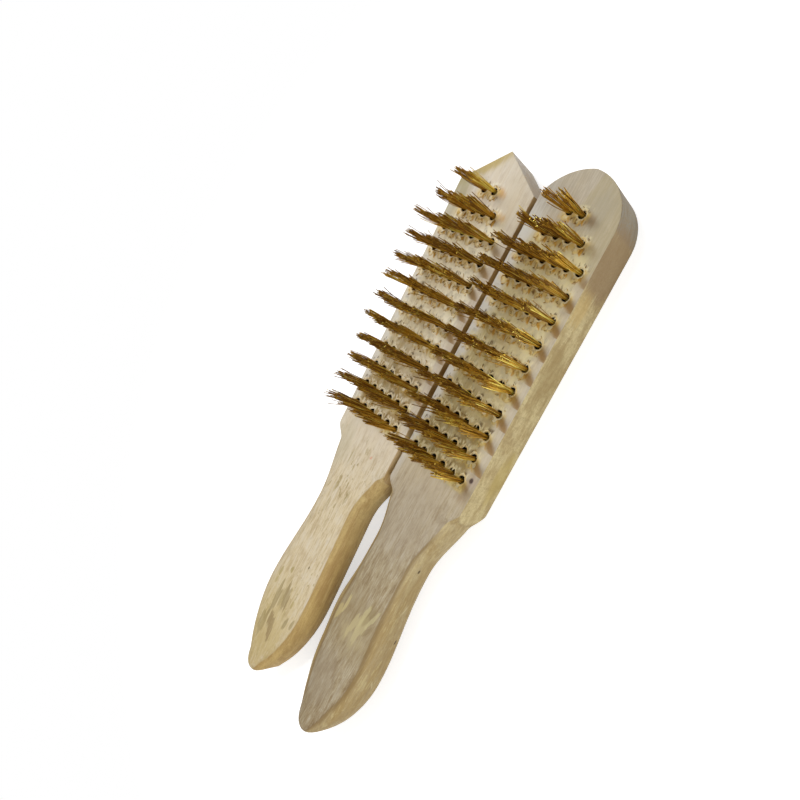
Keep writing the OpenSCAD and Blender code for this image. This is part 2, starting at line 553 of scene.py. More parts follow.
@dataclass(frozen=True)
class BoardShape:
    """A board and its handle, one piece of wood, with its sizes in millimetres."""

    end: HeadEnd
    shoulder: Station
    neck: Station
    belly: Station
    tip: Station
    end_top: float
    end_left: float
    end_right: float
    broad: float = 1.0
    broad_below: float = 6.0
    broad_run: float = 34.0
    fullest: float = 0.96
    thickness: float = 21.2
    round_over: float = 9.6
    tip_over: float = 7.0
    edge_break: float = 0.35
    round_grow: float = 9.0
    lap_depth: float = 6.4
    end_r: float = 23.5
    end_spread: float = 4.7
    end_blunt: float = 0.02
    corner_y: float = 61.15
    tip_power: float = 1.8
    tip_round: float = 0.66
    point_x: float = 1.75
    slants: tuple[float, float] = (0.0, 0.0)
    slant_run: float = 8.0
    swells: tuple[float, float] = (0.0, 0.0)
    swell_y: float = -146.0
    swell_run: float = 17.0
    head_steps: int = 20
    body_steps: tuple[int, ...] = (22, 16, 14, 24)
    tip_steps: int = 26

    @property
    def arc_y(self) -> float:
        """Where the rounded end's arcs have their centres."""
        return self.end_top - math.sqrt(self.end_r**2 - (self.end_spread / 2) ** 2)

    @property
    def bend_y(self) -> float:
        """Where the head's long edges turn into its end."""
        return self.corner_y if self.end is HeadEnd.POINTED else self.arc_y

    def edges(self, y: float) -> Station:
        """The board's edges at any y, with the slow swelling of the handle's inner side."""
        plain = self.plain_edges(y)
        swell = math.exp(-(((y - self.swell_y) / self.swell_run) ** 2))
        return Station(y, plain.left - self.swells[0] * swell, plain.right + self.swells[1] * swell)

    def plain_edges(self, y: float) -> Station:
        """The edges at any y before the handle swells."""
        if y > self.shoulder.y:
            return self.head_edges(y)
        if y > self.neck.y:
            return self.shoulder.eased_to(self.neck, y)
        if y > self.belly.y:
            return self.neck.eased_to(self.belly, y)
        share = (self.belly.y - y) / (self.belly.y - self.tip.y)
        half = self.belly.half * max(0.0, 1 - share**self.tip_power) ** self.tip_round
        half = max(self.tip.half, half)
        return Station(y, self.belly.middle - half, self.belly.middle + half)

    def head_edges(self, y: float) -> Station:
        """The head's edges at any y above the shoulder."""
        bend = Station(self.bend_y, self.end_left, self.end_right)
        run = min(1.0, (y - self.shoulder.y) / (bend.y - self.shoulder.y))
        edge = self.shoulder.toward(bend, run, y)
        if self.end is HeadEnd.POINTED:
            point = Station(self.end_top, self.point_x, self.point_x)
            return edge.toward(point, clipped((y - bend.y) / (point.y - bend.y)), y)
        left, right = edge.left, edge.right
        if y > bend.y:
            arc_x = self.end_right - self.end_r
            reach = math.sqrt(max(0.0, self.end_r**2 - (y - bend.y) ** 2))
            right = arc_x + reach
            left = max(left, arc_x + self.end_spread - reach)
        return Station(y, min(left, right - self.end_blunt), right)

    def half_height(self, y: float) -> float:
        """Half the thickness at any y: full, then rounded over the tip."""
        reach = min(self.tip_over, max(0.0, y - self.tip.y))
        drop = math.sqrt(self.tip_over**2 - (self.tip_over - reach) ** 2)
        return self.thickness / 2 - self.tip_over + drop

    def corner(self, y: float, half: float, tall: float) -> tuple[float, float]:
        """How far the board's long edges are rounded over at any y, across and down."""
        grown = eased(clipped((self.shoulder.y - y) / self.round_grow))
        down = self.edge_break + (self.round_over - self.edge_break) * grown
        low = eased(clipped((self.neck.y - self.broad_below - y) / self.broad_run))
        across = down * (1 + (self.broad - 1) * low)
        return min(across, self.fullest * half), min(down, self.fullest * half, self.fullest * tall)

    def turn_at(self, point: Vector) -> float:
        """How far the surface has turned down at a point, in degrees: 0 on a face, 90 on a wall."""
        edge, tall = self.edges(point.y), self.half_height(point.y)
        across, _ = self.corner(point.y, edge.half, tall)
        share = (abs(point.x - edge.middle) - edge.half + across) / across
        return math.degrees(math.asin(clipped(share)))

    def lap_at(self, point: Vector) -> float:
        """How far a point lies on the head's side of the arc where the sawn wall ends."""
        middle = self.thickness / 2
        height = min(1.0, abs(point.z + middle) / middle)
        return point.y - self.shoulder.y + self.lap_depth * math.sqrt(1 - height * height)

    def slant_at(self, point: Vector) -> float:
        """How far a shoulder is drawn towards the handle at a point."""
        over, under = point.y - self.shoulder.y, point.y - self.neck.y
        along = 1 - over / self.slant_run if over > 0 else under / (self.shoulder.y - self.neck.y)
        slant, edge = self.slants[1], self.shoulder.right
        if point.x < 0:
            slant, edge = self.slants[0], self.shoulder.left
        return slant * math.prod(eased(clipped(share)) for share in (along, point.x / edge))

    def places(self) -> list[float]:
        """Where along the board it is given a section, from the head end to the tip."""
        corner, full = self.bend_y, self.shoulder.y - self.round_grow
        rise, fall, quarter = self.end_top - corner, self.tip.y - self.belly.y, math.pi / 2
        head = [corner + rise * math.cos(quarter * k / self.head_steps) for k in range(self.head_steps)]
        stops = (corner, self.shoulder.y, full, self.neck.y, self.belly.y)
        body = [
            start + (stop - start) * k / count
            for start, stop, count in zip(stops, stops[1:], self.body_steps)
            for k in range(count)
        ]
        last = self.tip_steps
        tip = [self.belly.y + fall * math.sin(quarter * k / last) for k in range(last + 1)]
        return head + body + tip


@dataclass(frozen=True)
class SectionSteps:
    """How finely a board's section is divided."""

    corner: int = 12
    flat: int = 10
    wall: int = 4

    def around(self) -> Iterator[tuple[int, int, float, float]]:
        """Each point of a section.

        Yields:
            The signs of the corner it hangs on, its angle round that corner in quarter
            turns, and how far it lies along the flat to the next corner, 0 to 1.
        """
        corners = ((1, 1, self.flat), (-1, 1, self.wall), (-1, -1, self.flat), (1, -1, self.wall))
        for quarter, (side, up, flat) in enumerate(corners):
            for step in range(self.corner + 1):
                yield side, up, quarter + step / self.corner, 0.0
            for step in range(1, flat):
                yield side, up, quarter + 1.0, step / flat


@dataclass
class WoodenBoard:
    """A board with its handle and its drilled holes.

    Its sanded sides sink in slow and quick waves, except within a skin of each face. Each
    mouth pair gives a height and how much of the tear shows there. Splits start a little
    away from their hole, and a slit's solid stands a little over the face that it cuts.
    """

    shape: BoardShape
    grid: TuftGrid
    place: BrushPlace
    seed: int
    steps: SectionSteps = field(default_factory=SectionSteps)
    wave: float = 0.10
    ragged: float = 0.42
    slow_waves: tuple[float, float, float] = (0.03, 0.045, 0.12)
    quick_waves: tuple[float, float, float] = (0.2, 0.25, 0.35)
    quick_share: float = 0.25
    skin: float = 0.02
    mouth: tuple[tuple[float, float], ...] = (
        (-1.3, 0.0),
        (-0.55, 0.25),
        (-0.1, 0.9),
        (0.05, 1.0),
        (1.0, 1.0),
    )
    split_share: float = 0.45
    split_from: float = 1.55
    slit_top: float = 0.8
    slit_end: tuple[float, float] = (0.3, 0.6)
    staple_cut: tuple[float, float, float] = (4.2, 0.4, 11.8)
    merge: float = 0.0005
    sharp: float = 28.0

    def section(self, y: float) -> list[Vector]:
        """The points of one section across the board, at y."""
        edge, tall = self.shape.edges(y), self.shape.half_height(y)
        across, down = self.shape.corner(y, edge.half, tall)
        points = []
        for side, up, quarter, along in self.steps.around():
            angle = math.pi / 2 * quarter
            x = edge.middle + side * (edge.half - across) + across * math.cos(angle)
            z = up * (tall - down) + down * math.sin(angle)
            if along and side == up:
                x -= side * 2 * (edge.half - across) * along
            elif along:
                z -= up * 2 * (tall - down) * along
            points.append(Vector((x, y, z - self.shape.thickness / 2)))
        return points

    def body(self) -> Shape:
        """Wrap a grid round the board's sections, and close its two ends."""
        sections = [self.section(y) for y in self.shape.places()]
        around, along = len(sections[0]), len(sections)
        shape = bmesh.new()
        bmesh.ops.create_grid(shape, x_segments=around, y_segments=along - 1, size=1.0)
        for vertex in shape.verts:
            column = round((vertex.co.x + 1) / 2 * around)
            row = round((vertex.co.y + 1) / 2 * (along - 1))
            vertex.co = sections[row][column % around]
        bmesh.ops.remove_doubles(shape, verts=shape.verts, dist=self.merge)
        bmesh.ops.holes_fill(shape, edges=[e for e in shape.edges if e.is_boundary], sides=0)
        bmesh.ops.recalc_face_normals(shape, faces=shape.faces)
        self.weather(shape)
        return shape

    def weather(self, shape: Shape) -> None:
        """Sink the sanded sides a little in slow waves, as handwork leaves them."""
        under = -self.shape.thickness
        for vertex in shape.verts:
            point = vertex.co
            if -self.skin < point.z or point.z < under + self.skin or abs(vertex.normal.y) > 0.5:
                continue
            sunk = self.wavy(point, self.slow_waves) + self.quick_share * self.wavy(point, self.quick_waves)
            point -= Vector((vertex.normal.x, 0.0, vertex.normal.z)) * self.wave * sunk

    def wavy(self, point: Vector, waves: tuple[float, float, float]) -> float:
        """The height of this board's waves at a point, 0 to 1."""
        x, y, z = (along * wave for along, wave in zip(point, waves))
        return 0.5 + 0.5 * noise.noise(Vector((x, y, z + self.seed)))

    def drills(self) -> Shape:
        """The drilled holes as solids, with mouths that tore along the grain."""
        draw = random.Random(self.seed)
        shape = bmesh.new()
        for row, x, y in self.grid.holes():
            late = self.grid.late(row)
            ring = bmesh.ops.create_circle(shape, segments=22, radius=self.grid.hole_d / 2)["verts"]
            bmesh.ops.translate(shape, vec=(x, y, -self.grid.hole_depth), verts=ring)
            bmesh.ops.contextual_create(shape, geom=ring)
            phase, pit = draw.uniform(0, 9), draw.uniform(0.25, 0.95)
            for height, share in self.mouth:
                ring = extruded(shape, ring)
                for vertex in ring:
                    out = Vector((vertex.co.x - x, vertex.co.y - y, 0)).normalized()
                    reach = self.grid.hole_d / 2 + share * self.torn(out, late, pit, phase)
                    vertex.co = Vector((x, y, height)) + out * reach
            bmesh.ops.contextual_create(shape, geom=ring)
        bmesh.ops.recalc_face_normals(shape, faces=shape.faces)
        return shape

    def torn(self, out: Vector, late: float, pit: float, phase: float) -> float:
        """How far a hole's mouth is torn open in one direction.

        Args:
            out: The direction, away from the middle of the hole.
            late: 0 for a hole near the head end and 1 for one near the handle.
            pit: How much is torn on the head end's side.
            phase: What sets this hole apart from the others.

        Returns:
            How far the wood is gone there.
        """
        angle = math.atan2(out.y, out.x)
        rough = noise.noise(Vector((3.2 * math.cos(angle), 3.2 * math.sin(angle), phase)))
        lobe = max(0.0, math.sin(angle)) ** 3 * pit * (0.25 + 0.75 * late)
        lobe += max(0.0, -math.sin(angle)) ** 4 * (0.60 - 0.40 * late)
        return self.ragged * max(-0.1, rough + 0.2) + lobe

    def slits(self) -> Shape:
        """The cuts that the staples made beside the holes, and short splits along the grain."""
        draw = random.Random(self.seed + 1)
        shape = bmesh.new()
        for _, x, y in self.grid.holes():
            self.slit(shape, Vector((x, y, 0)), Vector(self.staple_cut))
            if draw.random() < self.split_share:
                side = draw.choice((-1, -1, 1))
                length = draw.uniform(1.8, 3.6)
                middle = Vector((x + draw.uniform(-1.0, 1.0), y + side * (self.split_from + length / 2), 0))
                size = Vector((draw.uniform(0.22, 0.42), length, draw.uniform(0.5, 1.1)))
                self.slit(shape, middle, size, True)
        return shape

    def slit(self, shape: Shape, middle: Vector, size: Vector, pointed: bool = False) -> None:
        """Add one slit's solid.

        Args:
            shape: The bmesh that takes it.
            middle: The middle of its mouth.
            size: Its width, length and depth.
            pointed: Whether its far ends close to a point.
        """
        made = bmesh.ops.create_cube(shape, size=1.0)["verts"]
        for vertex in made:
            vertex.co = Vector((vertex.co.x * size.x, vertex.co.y * size.y, vertex.co.z))
            vertex.co.z = self.slit_top if vertex.co.z > 0 else -size.z
            if pointed and vertex.co.z < 0:
                vertex.co.x *= self.slit_end[0]
                vertex.co.y *= self.slit_end[1]
            vertex.co += middle

    def build(self, material: Material) -> Piece:
        """Make the board.

        Args:
            material: The wood.

        Returns:
            The board, with its holes cut.
        """
        name = self.place.name
        board = new_piece(f"{name}_board", self.body())
        cut(board, new_piece(f"{name}_drills", self.drills()))
        cut(board, new_piece(f"{name}_slits", self.slits()))
        turn = board.data.attributes.new("turn", "FLOAT", "POINT")
        lap = board.data.attributes.new("lap", "FLOAT", "POINT")
        for index, vertex in enumerate(board.data.vertices):
            turn.data[index].value = self.shape.turn_at(vertex.co)
            lap.data[index].value = self.shape.lap_at(vertex.co)
            vertex.co.y -= self.shape.slant_at(vertex.co)
        board.data.transform(self.place.matrix)
        dress(board, material, self.sharp)
        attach(board, f"{name}_brush")
        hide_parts(f"{name}_block")
        report(board)
        return board


# --------------------------------------------------------------------------- torn wood


@dataclass(frozen=True)
class Splinter:
    """One kind of torn splinter, with the least and the most of each of its sizes.

    Its side is 1 towards the head end and -1 towards the handle. Each is how many a hole
    has, and ends are the shares of its width at its root and at its tip.
    """

    side: int
    inward: bool
    each: float
    away: tuple[float, float]
    fan: float
    length: tuple[float, float]
    width: tuple[float, float]
    ends: tuple[float, float]
    curl: tuple[float, float]
    lift: tuple[float, float]
    tone: tuple[float, float]


TEETH = Splinter(
    side=1, inward=True, each=1.6, away=(2.3, 3.4), fan=0.45, length=(0.9, 1.7), width=(0.4, 0.8),
    ends=(1.0, 0.25), curl=(0.1, 0.6), lift=(0.15, 0.5), tone=(0.1, 0.4),
)
CHIPS = Splinter(
    side=-1, inward=False, each=1.6, away=(2.6, 4.4), fan=0.42, length=(0.9, 2.0), width=(0.35, 0.8),
    ends=(0.45, 1.0), curl=(0.5, 1.9), lift=(0.10, 0.45), tone=(0.5, 1.0),
)
FLAPS = Splinter(
    side=-1, inward=False, each=1.2, away=(1.7, 2.6), fan=0.55, length=(1.2, 2.2), width=(0.9, 1.8),
    ends=(1.0, 0.75), curl=(0.1, 0.7), lift=(0.10, 0.40), tone=(0.15, 0.50),
)
BITS = Splinter(
    side=1, inward=False, each=0.9, away=(1.8, 3.2), fan=0.80, length=(0.7, 1.7), width=(0.3, 0.55),
    ends=(0.7, 0.6), curl=(0.6, 2.2), lift=(0.2, 0.7), tone=(0.6, 1.1),
)


@dataclass(frozen=True)
class RimLoop:
    """One loop of a rim: how far outside its hole, how high, and how brown the wood is."""

    out: float
    low: float
    share: float
    older: float


RIM_LOOPS = (
    RimLoop(0.40, -0.5, 0.0, 0.50),
    RimLoop(0.22, 0.0, 0.55, 0.30),
    RimLoop(0.45, 0.02, 1.0, 0.20),
    RimLoop(0.80, -0.02, 0.62, 0.10),
    RimLoop(1.45, -0.16, 0.0, 0.05),
)


@dataclass
class TornWood:
    """The wood that the drill lifted round the holes: low rims, and curled splinters."""

    grid: TuftGrid
    place: BrushPlace
    seed: int
    kinds: tuple[Splinter, ...] = (TEETH, CHIPS, FLAPS, BITS)
    rim: float = 0.13
    rim_drawn: float = 0.45
    firm_r: float = 1.55
    slow_waves: float = 1.3
    quick_waves: float = 4.2
    steps: tuple[int, int] = (2, 4)
    thickness: float = 0.16
    sharp: float = 50.0

    def rims(self) -> Shape:
        """A low uneven rim of lifted fibres round each hole."""
        draw = random.Random(self.seed + 7)
        shape = bmesh.new()
        tone = shape.verts.layers.float.new("tone")
        for _, x, y in self.grid.holes():
            phase, age = draw.uniform(0, 50), draw.uniform(0.0, 0.25)
            ring = bmesh.ops.create_circle(shape, segments=26, radius=self.grid.hole_d / 2)["verts"]
            points = [ring]
            for _ in RIM_LOOPS[1:]:
                points.append(extruded(shape, points[-1]))
            for ring, loop in zip(points, RIM_LOOPS):
                for vertex in ring:
                    vertex.co = self.lifted(loop, math.atan2(vertex.co.y, vertex.co.x), phase)
                    vertex[tone] = age + loop.older
                    vertex.co += Vector((x, y, 0))
            bmesh.ops.bridge_loops(shape, edges=edges_among(points[0]) + edges_among(points[-1]))
        bmesh.ops.recalc_face_normals(shape, faces=shape.faces)
        return shape

    def lifted(self, loop: RimLoop, angle: float, phase: float) -> Vector:
        """Where one point of a rim lies.

        Args:
            loop: The loop that holds it.
            angle: Where it lies round the hole.
            phase: What sets this rim apart from the others.

        Returns:
            Its place from the middle of the hole.
        """
        cos, sin = math.cos(angle), math.sin(angle)
        slow = noise.noise(Vector((self.slow_waves * cos, self.slow_waves * sin, phase)))
        quick = noise.noise(Vector((self.quick_waves * cos, self.quick_waves * sin, phase + 5)))
        height = self.rim * (0.12 + 0.75 * sin**2) * max(0.0, 0.75 + 0.9 * slow + 0.9 * quick)
        radius = self.grid.hole_d / 2 + loop.out
        uneven = (0.12 + 0.35 * (1 - loop.share)) * (quick + 0.3 * slow)
        reach = radius + uneven * min(1.0, (radius - self.firm_r) * 2) + max(0.0, sin) ** 3 * self.rim_drawn
        return Vector((reach * cos, reach * sin, loop.low + loop.share * height))

    def splinters(self) -> Shape:
        """The curled splinters that still hang on beside the holes."""
        draw = random.Random(self.seed + 11)
        shape = bmesh.new()
        tone = shape.verts.layers.float.new("tone")
        for row, x, y in self.grid.holes():
            browner = 0.22 - 0.035 * row
            for kind in self.kinds:
                for _ in range(int(kind.each + draw.random())):
                    self.splinter(shape, tone, draw, kind, Vector((x, y, 0)), browner)
        return shape

    def splinter(
        self,
        shape: Shape,
        tone: bmesh.types.BMLayerItem,
        draw: random.Random,
        kind: Splinter,
        hole: Vector,
        browner: float,
    ) -> None:
        """Add one splinter: a thin tapered strip, rooted in the wood and curled up.

        Args:
            shape: The bmesh that takes it.
            tone: The layer that holds how brown it is.
            draw: The brush's own chance.
            kind: The kind of splinter.
            hole: The middle of its hole.
            browner: How much browner it is than the middle of its kind.
        """
        fan = draw.gauss(0, kind.fan)
        away = draw.uniform(*kind.away)
        root = hole + away * Vector((math.sin(fan), kind.side * math.cos(fan), 0))
        heading = fan * 0.35 + draw.gauss(0, 0.22)
        toward = -kind.side if kind.inward else kind.side
        along = Vector((math.sin(heading), toward * math.cos(heading), 0))
        across = Vector((-along.y, along.x, 0))
        length, width = draw.uniform(*kind.length), draw.uniform(*kind.width)
        curl, rise = draw.uniform(*kind.curl), draw.uniform(*kind.lift)
        age, cup, roll = draw.uniform(*kind.tone) + browner, draw.uniform(-0.1, 0.45), draw.gauss(0, 0.25)
        columns, rows = self.steps
        made = bmesh.ops.create_grid(shape, x_segments=columns, y_segments=rows, size=0.5)["verts"]
        for vertex in made:
            run, side = vertex.co.y + 0.5, vertex.co.x
            wide = width * (kind.ends[0] + (kind.ends[1] - kind.ends[0]) * run**1.3)
            wide *= 1 - 0.55 * max(0.0, run - 0.75) * 4 * (kind.ends[1] >= 0.5)
            wide *= draw.uniform(0.8, 1.15)
            bend = curl * run
            forward = math.sin(bend) / curl * length * (1 + 0.18 * (draw.random() - 0.5) * (run > 0.9))
            upward = (1 - math.cos(bend)) / curl * length * 0.7 + rise * run
            vertex[tone] = clipped(age * (0.6 + 0.5 * run) + 0.12 * abs(side))
            vertex.co = root + along * forward + across * side * wide
            vertex.co.z = upward + cup * wide * side * side * 4 * run + roll * side * wide * run - 0.05

    def build(self, material: Material) -> None:
        """Make the rims and the splinters.

        Args:
            material: The torn wood.
        """
        name = self.place.name
        rims = new_piece(f"{name}_torn_rims", self.rims(), self.place.matrix)
        splinters = new_piece(f"{name}_splinters", self.splinters(), self.place.matrix)
        shell = splinters.modifiers.new("thickness", "SOLIDIFY")
        shell.thickness, shell.offset = self.thickness * MM, 0.0
        settle(splinters)
        for piece in (rims, splinters):
            dress(piece, material, self.sharp)
            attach(piece, f"{name}_brush")
            report(piece)


# --------------------------------------------------------------------------- the wires


@dataclass(frozen=True)
class Tuft:
    """One bundle of wires, folded under its staple."""

    # The bundle at the mouth of its hole and at its tips.
    wires: int = 16
    wire_d: float = 0.34
    mouth_x: float = 1.28
    mouth_y: float = 0.98
    splay_x: float = 2.5
    splay_y: float = 2.0
    length: float = 22.95
    # How unevenly the wires were cut, and how far they lean, spread and stray.
    uneven: float = 3.4
    uneven_most: float = 8.0
    shorter: float = 0.7
    shorter_most: float = 2.0
    lean_x: float = -0.2
    lean_spread: float = 0.5
    tip_spread: float = 0.4
    strays: float = 0.07
    stray_spread: float = 1.5
    # The staple, and the folds side by side and in layers under it.
    staple_top: float = -10.0
    staple_foot: float = -12.0
    staple_gap: float = 0.42
    folds: int = 8
    fold_drop: float = 0.12
    fold_layer: float = 0.36
    # One leg's neck below the mouth, its bow, and where along it its points are.
    neck_z: float = -1.4
    neck: float = 0.97
    bow: float = 0.26
    stops: tuple[float, ...] = (1.0, 0.68, 0.38, 0.14, 0.02)

    def scattered(self, draw: random.Random, spread: float) -> Vector:
        """A random step in the plane of the board."""
        return Vector((draw.gauss(0, spread), draw.gauss(0, spread), 0))

    def fold(self, wire: int) -> Vector:
        """Where the middle of a wire is folded under the staple."""
        deep = -self.fold_drop - self.fold_layer * (wire // self.folds)
        return Vector(((wire % self.folds - (self.folds - 1) / 2) * self.wire_d, 0, self.staple_foot + deep))

    def legs(self, draw: random.Random, lean_y: float, slip: float) -> list[tuple[Vector, Vector]]:
        """Where each wire leaves the hole and where it ends, two for each folded wire.

        Args:
            draw: The bundle's own chance.
            lean_y: How far the row's tips lean towards the head end.
            slip: How far its wires lie off the middle of the hole at its mouth.

        Returns:
            For each leg, its place at the mouth and at the tip, in pairs of legs.
        """
        lean = Vector((draw.gauss(self.lean_x, self.lean_spread), draw.gauss(lean_y, self.tip_spread), 0))
        tall = self.length - min(self.shorter_most, abs(draw.gauss(0, self.shorter)))
        found = []
        for wire in range(self.wires):
            for half in (-1, 1):
                turn = math.pi * (0.04 + 0.92 * (wire + draw.random()) / self.wires) * half
                reach = math.sqrt(draw.uniform(0.04, 1.0))
                x, y = reach * math.cos(turn), reach * math.sin(turn)
                mouth = Vector((x * self.mouth_x, y * self.mouth_y + slip, 0))
                spread = draw.uniform(0.35, 1.0) + 0.35 * draw.random() ** 3
                tip = Vector((x * self.splay_x * spread, y * self.splay_y * spread, 0)) + lean
                tip += self.scattered(draw, self.tip_spread)
                if draw.random() < self.strays:
                    tip += self.scattered(draw, self.stray_spread)
                short = abs(draw.gauss(0, self.uneven)) + 1.6 * reach**3 * draw.random()
                tip.z = tall - min(self.uneven_most, short)
                found.append((mouth, tip))
        return found

    def path(self, draw: random.Random, mouth: Vector, tip: Vector, fold_x: float, side: int) -> list[Vector]:
        """One leg's line, from its tip down to the foot of the staple.

        Args:
            draw: The bundle's own chance.
            mouth: Where the leg passes the mouth of the hole.
            tip: Where it ends.
            fold_x: Where along the staple its wire is folded.
            side: The side of the staple that it runs down, -1 or 1.

        Returns:
            Its points, from the tip down.
        """
        bow = self.scattered(draw, self.bow)
        points = []
        for share in self.stops:
            point = mouth + (Vector((tip.x, tip.y, 0)) - mouth) * share**0.9
            point += bow * math.sin(math.pi * share)
            point.z = tip.z * share
            points.append(point)
        points.append(mouth * self.neck + Vector((0, 0, self.neck_z)))
        points.append(Vector((fold_x, side * self.staple_gap * 1.25, self.staple_top)))
        points.append(Vector((fold_x, side * self.staple_gap, self.staple_foot)))
        return points


@dataclass
class WireRow:
    """One row of tufts, as single wires.

    The rows near the head end can be fresher, and the tufts at the right of the later
    rows can be given a painted highlight, a brighter metal colour.
    """

    tuft: Tuft
    grid: TuftGrid
    place: BrushPlace
    row: int
    seed: int
    highlight_raise: float = 0.0
    fresh: float = 0.0
    lean_first: float = -1.7
    lean_each: float = 0.25
    slips: tuple[float, float] = (0.06, -0.24)
    highlight_x: float = 8.0
    highlight_row: int = 6
    fresh_rows: int = 3
    brightness: tuple[float, float] = (0.46, 0.32)
    shades: float = 0.12
    sharp: float = 50.0

    def curves(self) -> tuple[bpy.types.Curve, list[float]]:
        """The row's wires as curves.

        Returns:
            The curves, and for each wire how bright its metal is, 0 to 1.
        """
        draw = random.Random(self.seed * 100 + self.row)
        curve = bpy.data.curves.new("wires", "CURVE")
        curve.dimensions = "3D"
        curve.bevel_depth = self.tuft.wire_d / 2
        curve.bevel_resolution = 0
        curve.use_fill_caps = True
        tones = []
        lean_y = self.lean_first + self.lean_each * (self.row - 1)
        slip = self.slips[0] + self.slips[1] * self.grid.late(self.row)
        for x, y in self.grid.places(self.row):
            legs = self.tuft.legs(draw, lean_y, slip)
            shade = draw.uniform(-self.shades, self.shades) + self.fresh * (self.row <= self.fresh_rows)
            # painted highlight: brighter metal on the right tufts of the later rows
            shade += self.highlight_raise * (x > self.highlight_x and self.row >= self.highlight_row)
            for wire in range(self.tuft.wires):
                fold = self.tuft.fold(wire)
                first, second = legs[2 * wire], legs[2 * wire + 1]
                line = self.tuft.path(draw, *first, fold.x, -1)
                line.append(fold)
                line += reversed(self.tuft.path(draw, *second, fold.x, 1))
                spline = curve.splines.new("POLY")
                spline.points.add(len(line) - 1)
                for point, where in zip(spline.points, line):
                    point.co = (where.x + x, where.y + y, where.z, 1.0)
                    point.radius = 1.0
                tones.append(clipped(draw.gauss(*self.brightness) + shade))
        return curve, tones

    def build(self, material: Material) -> None:
        """Make the row's wires as one piece.

        Args:
            material: The brass.
        """
        name, number = self.place.name, f"{self.row:02d}"
        curve, tones = self.curves()
        holder = linked("wires", curve)
        graph = bpy.context.evaluated_depsgraph_get()
        graph.update()
        mesh = bpy.data.meshes.new_from_object(holder.evaluated_get(graph))
        bpy.data.objects.remove(holder)
        mesh.name = f"{name}_wires_{number}"
        each = len(mesh.vertices) // len(tones)
        tone = mesh.attributes.new("tone", "FLOAT", "POINT")
        reach = mesh.attributes.new("reach", "FLOAT", "POINT")
        for index, vertex in enumerate(mesh.vertices):
            tone.data[index].value = tones[min(index // each, len(tones) - 1)]
            reach.data[index].value = max(0.0, vertex.co.z / self.tuft.length)
        mesh.transform(self.place.matrix)
        piece = linked(mesh.name, mesh)
        dress(piece, material, self.sharp)
        middle = self.place.rows[self.row - 1]
        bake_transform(piece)
        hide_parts(f"{name}_wire_row_{number}", f"{name}_root_row_{number}")
        report(piece)


# --------------------------------------------------------------------------- finishes


@dataclass(frozen=True)
class Mark:
    """A stained or scraped place, a painted shadow or a patch of painted light, as a soft-edged oval with
    ragged ends along the grain.

    Its lean is in degrees, and broken is how much of it the grain's lines leave out.
    """

    across: float
    along: float
    half_width: float
    half_length: float
    chip: Chip
    strength: float = 0.6
    lean: float = 0.0
    soft: float = 0.35
    ragged: float = 1.2
    broken: float = 0.0


# Each pattern's stretch and shift, then its fineness, layers, roughness and bend.
BROAD = Pattern((1.0, 0.32, 1.0), 0.0, 0.06, 3.0, 0.55, grown=True)
FIGURE = Pattern((1.0, 0.055, 0.8), 3.0, 0.30, 3.0, 0.55, 0.5, grown=True)
LINES = Pattern((1.0, 0.075, 0.8), 6.0, 1.25, 4.0, 0.66, 0.4, grown=True)
PORES = Pattern((1.0, 0.12, 0.9), 8.0, 2.1, 2.0, grown=True)
FLECKS = Pattern((1.0, 0.30, 1.0), 12.0, 0.62, 2.0, 0.55, grown=True)
RAG = Pattern((1.0, 0.075, 1.0), 15.0, 0.62, 3.0, 0.6, grown=True)
FLECKED = Pattern((1.0, 0.6, 1.0), 19.0, 0.05, 1.0, grown=True)
MOTTLE = Pattern((1.0, 0.3, 1.0), 66.0, 0.32, 5.0, 0.72)
PATCHY = Pattern((1.0, 0.55, 1.3), 21.0, 0.14, 5.0, 0.68)
SPECK = Pattern((1.0, 0.8, 1.0), 27.0, 1.1, 4.0, 0.75)
SAW = Pattern((0.1, 1.0, 0.10), 31.0, 0.7, 3.0, 0.6)
RINGS = Pattern((0.08, 0.08, 0.7), 35.0, 0.9, 3.0, 0.6)
CLOUD = Pattern((1.0, 0.7, 1.0), 40.0, 0.30, 3.0, 0.6)
STREAK = Pattern((1.0, 0.28, 1.0), 44.0, 0.95, 2.0)
FRAY = Pattern((1.0, 0.24, 1.0), 48.0, 0.60, 3.0, 0.6)
GREYED = Pattern((1.0, 0.6, 1.0), 52.0, 0.30, 2.0)
MOUND_ACROSS = Pattern((1.0, 0.7, 1.0), 71.0, 0.55, 2.0)
MOUND_ALONG = Pattern((1.0, 0.7, 1.0), 75.0, 0.55, 2.0)
# Where the painted shadow wedges beside the mounds lie, how long they are and how ragged.
SHADOW_WEDGE_PLACE = Pattern((1.0, 1.0, 1.0), 81.0, 0.20, 1.0)
SHADOW_WEDGE_LENGTH = Pattern((1.0, 1.0, 1.0), 85.0, 0.22, 1.0)
SHADOW_WEDGE_EDGE = Pattern((1.0, 0.5, 1.0), 89.0, 1.1, 2.0)
FIBRE = Pattern((1.0, 0.16, 1.0), 48.0, 1.3, 2.0, 0.55)
LUMP = Pattern((1.0, 0.5, 1.0), 9.0, 0.9, 3.0, 0.6)
FUZZ = Pattern((1.0, 0.3, 1.0), 4.0, 3.0, 3.0, 0.65)

# Painted reflection: golden light thrown from the brass onto the wood behind the right tufts.
BRASS_REFLECTION_GOLD: Chip = (206, 186, 104)
DUSTY_GREY: Chip = (166, 160, 138)
MOUND_FOOT: Chip = (146, 104, 52)
# Painted shadow: the warm wedges that the tufts' feet and the mounds cast beside the holes.
SHADOW_WEDGE_OCHRE: Chip = (182, 136, 50)
SHADOW_WEDGE_BROWN: Chip = (112, 76, 28)
SPLIT_BROWN: Chip = (120, 82, 34)
FRAYED_BROWN: Chip = (86, 66, 38)
# Painted shadow: the soft brown shadow that each row's last tuft casts towards the wall.
LAST_TUFT_SHADOW: Chip = (150, 112, 52)
# Painted shade: near black deep inside the drilled holes.
HOLE_SHADE: Chip = (26, 17, 9)


